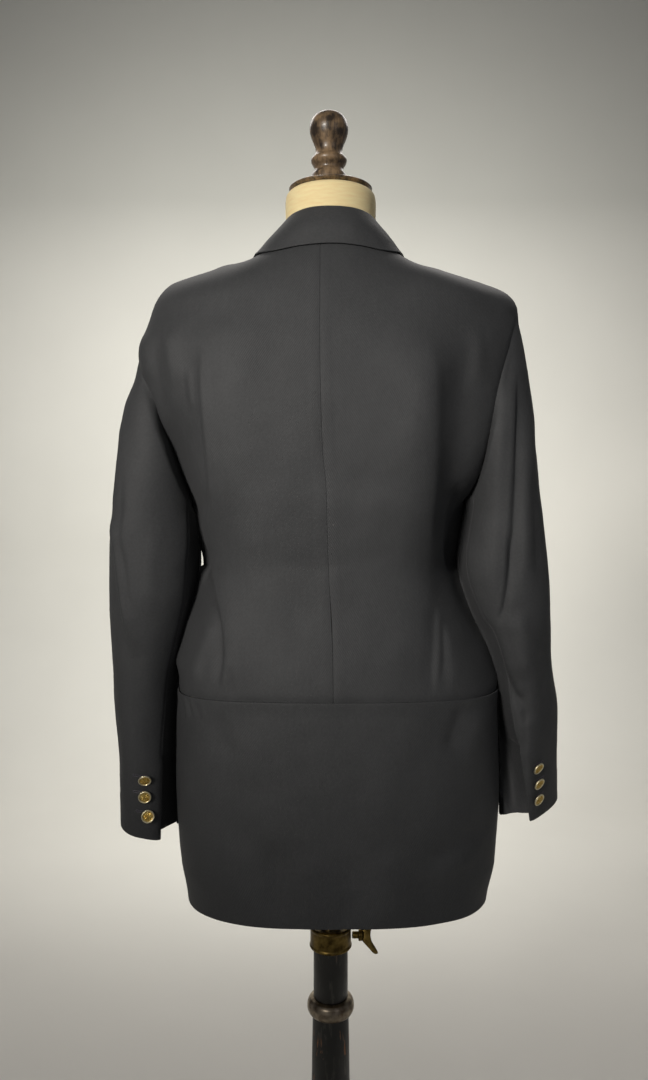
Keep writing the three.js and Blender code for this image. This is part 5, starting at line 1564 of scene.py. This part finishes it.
def shank_button(radius):
    """A stamped metal button: a raised rolled rim round a dished centre with a plain rayed pattern."""
    button = turned("shank_button", [
        (0, -1.7), (1.5, -1.7), (1.6, -0.1), (radius * 0.84, 0), (radius, 0.75), (radius * 0.99, 1.8),
        (radius * 0.9, 2.35), (radius * 0.79, 1.95), (radius * 0.74, 1.25), (radius * 0.6, 1.3),
        (radius * 0.42, 1.55), (radius * 0.2, 1.75), (0, 1.8),
    ], segments=64, soft=0.35)
    for vertex in button.data.vertices:
        reach = math.hypot(vertex.co.x, vertex.co.y) / MM / radius
        if vertex.co.z > RAYS["floor"] * MM and reach < RIM_START:
            turn = math.atan2(vertex.co.y, vertex.co.x)
            ray = math.cos(RAYS["count"] * turn) * math.sin(math.pi * min(reach / RAYS["reach"], 1.0))
            vertex.co.z += RAYS["height"] * MM * ray
    button.data.materials.append(material("gilt_brass"))
    button.data.materials.append(material("pale_gilt_rim"))
    for face in button.data.polygons:
        reach = math.hypot(face.center.x, face.center.y) / MM / radius
        face.material_index = 1 if reach > RIM_START and face.center.z > RIM_FOOT * MM else 0
    return button


def copy_to(source, name, move):
    """A copy of a piece with a mesh of its own, moved in its mesh."""
    mesh = source.data.copy()
    mesh.name = name
    mesh.transform(move)
    return in_scene(name, mesh)


def finish_thread(made):
    made.data.materials.append(material("buttonhole_twist"))
    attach(made, "form")


# A buttonhole: its length, half width and the bead of stitches round it, which swells at every stitch.
HOLE = {"length": 17.0, "width": 1.1, "bead": 0.5, "steps": 120, "around": 8, "swell": 0.28, "flat": 0.8,
        "before": 5, "above": 3.2}


def buttonhole(side, number, z, inset):
    """A worked buttonhole: a row of close stitches round a slit, lying on the cuff's cloth."""
    width, steps, around = HOLE["width"], HOLE["steps"], HOLE["around"]
    points, faces = [], []
    straight = HOLE["length"] - 2 * width
    total = 2 * straight + 2 * math.pi * width
    ring = []
    for k in range(steps):
        run = total * k / steps
        if run < straight:
            ring.append((-straight / 2 + run, -width))
        elif run < straight + math.pi * width:
            turn = (run - straight) / width
            ring.append((straight / 2 + width * math.sin(turn), -width * math.cos(turn)))
        elif run < 2 * straight + math.pi * width:
            ring.append((straight / 2 - (run - straight - math.pi * width), width))
        else:
            turn = (run - 2 * straight - math.pi * width) / width
            ring.append((-straight / 2 - width * math.sin(turn), width * math.cos(turn)))
    places = [cuff_place(side, z + up, inset + HOLE["before"] + along) for along, up in ring]
    for k, (centre, normal) in enumerate(places):
        run = unit(places[(k + 1) % steps][0] - centre)
        out = np.cross(run, normal)
        stitch = HOLE["bead"] * (1 + HOLE["swell"] * math.cos(math.pi * k))
        for j in range(around):
            turn = 2 * math.pi * j / around
            points.append(centre + stitch * (out * math.cos(turn) + normal * math.sin(turn) * HOLE["flat"]))
    for k in range(steps):
        for j in range(around):
            here, ahead = k * around, ((k + 1) % steps) * around
            faces.append((here + j, here + (j + 1) % around, ahead + (j + 1) % around, ahead + j))
    made = mesh_object(f"buttonhole_{side}_{number}", points, faces)
    face_outward(made.data)
    finish_thread(made)


class BLAZER_OT_buttons(bpy.types.Operator):
    """Makes the cuff buttons with their buttonholes, and the front button"""

    bl_idname = "blazer.buttons"
    bl_label = "Buttons"

    def execute(self, context):
        pattern = shank_button(BUTTON_RADIUS)
        for side in SIDES:
            for number, row in enumerate(CUFF_BUTTONS[side], start=1):
                spot, normal = cuff_place(side, row["z"], row["inset"])
                tilt = math.radians(row["droop"])
                facing = Vector(normal) * math.cos(tilt) - Vector((0, 0, 1)) * math.sin(tilt)
                move = Matrix.Translation(Vector(spot + normal * BUTTON_STAND) * MM) @ turn_to(facing)
                button = copy_to(pattern, f"gilt_button_{side}_{number}", move)
                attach(button, "form")
                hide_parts(f"cuff_button_{side}_{number}")
                buttonhole(side, number, row["z"] + HOLE["above"], row["inset"])
        bpy.data.objects.remove(pattern)
        radius = FRONT_BUTTON["radius"]
        front = turned("horn_button", [
            (0, -0.9), (2.2, -0.9), (2.3, 0), (radius * 0.8, 0.1), (radius, 1.3), (radius * 0.985, 2.3),
            (radius * 0.88, 3.0), (radius * 0.74, 2.5), (radius * 0.62, 2.1), (0, 2.1),
        ], soft=0.5)
        point = body_point(body_angle(FRONT_BUTTON["x"], FRONT_BUTTON["z"], True), FRONT_BUTTON["z"])
        spot, normal = settle("front_right", point + np.array([0, -LAP_LIFT, 0]))
        move = Matrix.Translation(Vector(spot + normal * FRONT_BUTTON["stand"]) * MM) @ turn_to(normal)
        front.data.transform(move)
        hard_piece(front, "form", "polished_horn", "front_button")
        # Two stitches cross over the button, each a short round bar.
        for number, turn in enumerate((45, -45), start=1):
            nothing_selected()
            bpy.ops.mesh.primitive_cylinder_add(
                vertices=10, radius=BUTTON_THREAD["radius"] * MM, depth=BUTTON_THREAD["length"] * MM)
            stitch = bpy.context.object
            stitch.rotation_euler = (0, math.pi / 2, math.radians(turn))
            stitch.location = (0, 0, BUTTON_THREAD["height"] * MM)
            at_origin(stitch, f"front_button_thread_{number}")
            bpy.ops.object.shade_smooth_by_angle(angle=math.radians(THREAD_ANGLE))
            stitch.data.transform(move)
            finish_thread(stitch)
        return {"FINISHED"}


def torso_cover():
    """The covered torso, ring by ring, with its top and foot turned over."""
    turn = np.linspace(0, np.pi / 2, FORM_EDGE_RINGS)
    levels = np.concatenate([
        FORM_TOP - FORM_EDGE * (1 - np.cos(turn)),
        np.arange(FORM_TOP - FORM_EDGE - FORM_FIRST, FORM_FOOT + FORM_EDGE, -FORM_PITCH),
        FORM_FOOT + FORM_EDGE * (1 - np.sin(turn)),
    ])
    around = FORM_AROUND
    angle = np.radians(np.arange(around) * 360 / around)[None]
    z = levels[:, None]
    depth_in = FORM_EDGE - np.minimum(np.minimum(FORM_TOP - z, z - FORM_FOOT), FORM_EDGE)
    shrink = FORM_EDGE - np.sqrt(np.maximum(FORM_EDGE**2 - depth_in**2, 0))
    power = 2 / (2 + (FORM_ROUND - 2) * ramp(FORM_NECK - z, 0, FORM_SHOULDER))
    depth = np.where(np.cos(angle) >= 0, FORM("back", z), FORM("front", z)) - shrink
    x = (FORM("half", z) - shrink) * signed_power(np.sin(angle), power)
    y = depth * signed_power(np.cos(angle), power)
    points = np.stack(np.broadcast_arrays(x, y, z), -1).reshape(-1, 3)
    rows = len(levels)
    place = np.arange(rows * around).reshape(rows, around)
    ahead = np.roll(place, -1, axis=1)
    faces = np.stack([place[:-1], place[1:], ahead[1:], ahead[:-1]], -1).reshape(-1, 4).tolist()
    faces += [place[0].tolist(), place[-1, ::-1].tolist()]
    torso = bpy.data.meshes.new("form_torso_cover")
    torso.from_pydata((points * MM).tolist(), [], faces)
    torso.shade_smooth()
    face_outward(torso)
    return in_scene("form_torso_cover", torso)


class BLAZER_OT_form(bpy.types.Operator):
    """Makes the dress form: its covered torso, neck plate and finial"""

    bl_idname = "blazer.form"
    bl_label = "Dress form"

    def execute(self, context):
        hard_piece(torso_cover(), "form", "cotton_calico", "form_torso")
        turn_all("neck_plate_wood", "finial_turning")
        return {"FINISHED"}


# Each length of a wing: how far it runs out and up, in metres, and how much narrower and thinner it gets.
WING_STEPS = ((-0.004, 0.0055, 0.86, 0.9), (-0.0055, 0.006, 0.78, 0.95), (-0.003, 0.005, 0.8, 0.95))
WING_START = -25.75     # where the screw meets its boss on the collar, in millimetres
WING_BLOCK = {"size": (0.013, 0.0034, 0.0085), "out": 0.016}    # metres
SCREW_STEMS = ((4.0, 10.0, 5.0), (6.6, 4.5, 9.8))       # radius, length and how far out the middle is
STEM_EDGE = 0.7
UPRIGHT = 0.9           # a face whose normal rises this steeply is the block's end
SCREW_HEIGHT = 621
SCREW_TURN = 25         # degrees that the wings stand from upright


def wing_screw():
    """A cast wing screw: a boss on a stem, with two rounded wings drawn out of one block."""
    nothing_selected()
    start = WING_START * MM
    bpy.ops.mesh.primitive_cube_add(
        size=1, location=(start - WING_BLOCK["out"], 0, 0), scale=WING_BLOCK["size"])
    made = bpy.context.object
    at_origin(made, "wing_screw_casting")
    bpy.ops.object.mode_set(mode="EDIT")
    bpy.ops.mesh.select_mode(type="FACE")
    for sign in (1, -1):
        bpy.ops.mesh.select_all(action="DESELECT")
        shape = bmesh.from_edit_mesh(made.data)
        shape.faces.ensure_lookup_table()
        for face in shape.faces:
            face.select = face.normal.z * sign > UPRIGHT
        bmesh.update_edit_mesh(made.data)
        for out, up, wide, deep in WING_STEPS:
            bpy.ops.mesh.extrude_region_move(TRANSFORM_OT_translate={"value": (out, 0, up * sign)})
            centre = sum((v.co for v in bmesh.from_edit_mesh(made.data).verts if v.select), Vector()) / 4
            bpy.ops.transform.resize(value=(wide, deep, 1), center_override=centre)
    bpy.ops.object.mode_set(mode="OBJECT")
    rounder = made.modifiers.new("rounder", "SUBSURF")
    rounder.levels = rounder.render_levels = 3
    bpy.ops.object.modifier_apply(modifier="rounder")
    nothing_selected()
    stems = []
    for radius, length, middle in SCREW_STEMS:
        bpy.ops.mesh.primitive_cylinder_add(
            vertices=40, radius=radius * MM, depth=length * MM, location=(start - middle * MM, 0, 0),
            rotation=(0, math.pi / 2, 0))
        stem = bpy.context.object
        edge = stem.modifiers.new("edge", "BEVEL")
        edge.width, edge.segments = STEM_EDGE * MM, 3
        bpy.ops.object.modifier_apply(modifier="edge")
        bpy.ops.object.transform_apply(location=True, rotation=True, scale=True)
        stems.append(stem)
    for piece in (*stems, made):
        piece.select_set(True)
    bpy.context.view_layer.objects.active = made
    bpy.ops.object.join()
    bpy.ops.object.shade_smooth_by_angle(angle=math.radians(EDGE_ANGLE))
    upright = Matrix.Rotation(math.radians(SCREW_TURN), 4, "X")
    made.data.transform(Matrix.Translation((0, 0, SCREW_HEIGHT * MM)) @ upright)
    return made


class BLAZER_OT_stand(bpy.types.Operator):
    """Makes the stand: base, pole, ring, clamp collar, rod and wing screw"""

    bl_idname = "blazer.stand"
    bl_label = "Stand"

    def execute(self, context):
        turn_all("base_turning", "pole_lower_turning", "pole_ring_turning", "pole_upper_turning",
                 "clamp_collar_turning", "form_rod_turning")
        hard_piece(wing_screw(), "screw", "aged_bronze", "wing_screw")
        return {"FINISHED"}


# ---- The stage ------------------------------------------------------------------------------------

CAMERA_PLACE = (0.008, 1.032, 1.150)
SENSOR = 36             # its long side, in millimetres
FOCAL = SENSOR * 43 / 54        # fitted to the photograph together with the camera's place
HORIZON_SHIFT = -23 / 540       # the view is moved down, not tilted, so upright lines stay upright
CLIP = (0.05, 50)
WALL_DISTANCE = 3.0
WALL_CURVE = 0.9
WALL_HEIGHT = 4.2
STAGE_HALF = 3.4


def aimed(name, data, place, target, power, colour):
    """Hangs a lamp so that it points at a target, unseen by the camera."""
    data.energy = power
    data.color = linear(colour)[:3]
    made = in_scene(name, data)
    made.location = place
    made.rotation_euler = (Vector(target) - Vector(place)).to_track_quat("-Z", "Y").to_euler()
    made.visible_camera = False
    return made


def soft_box(name, place, target, size, power, colour):
    """A soft rectangular lamp."""
    data = bpy.data.lights.new(name, "AREA")
    data.shape = "RECTANGLE"
    data.size, data.size_y = size
    return aimed(name, data, place, target, power, colour)


def dish(name, place, target, radius, beam, power, colour):
    """A large dish whose beam, in degrees, dies away smoothly to its edge."""
    data = bpy.data.lights.new(name, "SPOT")
    data.shadow_soft_size = radius
    data.spot_size = math.radians(beam)
    data.spot_blend = 1.0
    return aimed(name, data, place, target, power, colour)


# Each lamp: its kind, its place, what it points at, its size (and a dish's beam in degrees), and its colour.
LAMPS = {
    "key": (dish, (1.15, 2.25, 1.9), (0.0, 0.05, 1.23), 0.26, 28, "fffaf4"),
    "fill": (soft_box, (-1.6, 2.2, 1.9), (0, 0, 1.2), (1.4, 1.4), "f2f4ff"),
    "wall": (dish, (0.2, -0.4, 1.7), (0.1, -3.0, 1.25), 0.4, 130, "fffff8"),
    "floor": (soft_box, (0, -1.5, 2.7), (0, -1.2, 0), (2.8, 1.0), "fffaf6"),
}
COVE_STEPS = 24


class BLAZER_OT_stage(bpy.types.Operator):
    """Makes the studio: floor and backdrop in one cove, lamps and camera"""

    bl_idname = "blazer.stage"
    bl_label = "Studio"

    def execute(self, context):
        scene = context.scene
        nothing_selected()
        middle = STAGE_HALF + WALL_CURVE - WALL_DISTANCE
        bpy.ops.mesh.primitive_plane_add(size=2 * STAGE_HALF, location=(0, middle, 0))
        cove = context.object
        bpy.ops.object.mode_set(mode="EDIT")
        bpy.ops.mesh.select_mode(type="EDGE")
        bpy.ops.mesh.select_all(action="DESELECT")
        shape = bmesh.from_edit_mesh(cove.data)
        for edge in shape.edges:
            edge.select = all(v.co.y < 0 for v in edge.verts)
        bmesh.update_edit_mesh(cove.data)
        before = Vector((0, 0, 0))
        for k in range(1, COVE_STEPS + 1):
            turn = math.pi / 2 * k / COVE_STEPS
            here = Vector((0, -WALL_CURVE * math.sin(turn), WALL_CURVE * (1 - math.cos(turn))))
            bpy.ops.mesh.extrude_region_move(TRANSFORM_OT_translate={"value": here - before})
            before = here
        bpy.ops.mesh.extrude_region_move(TRANSFORM_OT_translate={"value": (0, 0, WALL_HEIGHT)})
        bpy.ops.object.mode_set(mode="OBJECT")
        bpy.ops.object.shade_smooth()
        at_origin(cove, "studio_cove")
        cove.data.materials.append(material("studio_emulsion"))
        world = bpy.data.worlds.new("room")
        scene.world = world
        world.use_nodes = True
        light = scene.blazer_light
        room = world.node_tree.nodes["Background"]
        room.inputs["Color"].default_value = linear("dfe0e2")
        room.inputs["Strength"].default_value = light.sky
        for name, (kind, place, target, *shape, colour) in LAMPS.items():
            kind(f"{name}_lamp", place, target, *shape, getattr(light, name), colour)
        scene.view_settings.view_transform = "Standard"
        data = bpy.data.cameras.new("camera")
        data.lens = FOCAL
        data.sensor_width = SENSOR
        data.shift_y = HORIZON_SHIFT
        data.clip_start, data.clip_end = CLIP
        camera = in_scene("camera", data)
        camera.location = CAMERA_PLACE
        camera.rotation_euler = (math.pi / 2, 0, math.pi)
        scene.camera = camera
        return {"FINISHED"}


# ---- Panel and registration -----------------------------------------------------------------------

STEPS = (
    BLAZER_OT_stage, BLAZER_OT_bodice, BLAZER_OT_skirt, BLAZER_OT_sleeves, BLAZER_OT_collar,
    BLAZER_OT_buttons, BLAZER_OT_form, BLAZER_OT_stand,
)


class BLAZER_PT_panel(bpy.types.Panel):
    """Lists the properties and the steps"""

    bl_idname = "BLAZER_PT_panel"
    bl_label = "Blazer"
    bl_space_type = "VIEW_3D"
    bl_region_type = "UI"
    bl_category = "Blazer"

    def draw(self, context):
        for group in (context.scene.blazer_cloth, context.scene.blazer_colours, context.scene.blazer_light):
            box = self.layout.box()
            for name in group.bl_rna.properties.keys():
                if name not in ("rna_type", "name"):
                    box.prop(group, name)
        for step in STEPS:
            self.layout.operator(step.bl_idname)


GROUPS = {"blazer_cloth": BlazerCloth, "blazer_colours": BlazerColours, "blazer_light": BlazerLight}


def register():
    for kind in (*GROUPS.values(), *STEPS, BLAZER_PT_panel):
        bpy.utils.register_class(kind)
    for name, kind in GROUPS.items():
        setattr(bpy.types.Scene, name, bpy.props.PointerProperty(type=kind))


def unregister():
    for name in GROUPS:
        delattr(bpy.types.Scene, name)
    for kind in reversed((*GROUPS.values(), *STEPS, BLAZER_PT_panel)):
        bpy.utils.unregister_class(kind)


def main():
    """Builds everything in order."""
    register()
    for step in STEPS:
        family, name = step.bl_idname.split(".")
        getattr(getattr(bpy.ops, family), name)()


if __name__ == "__main__":
    main()
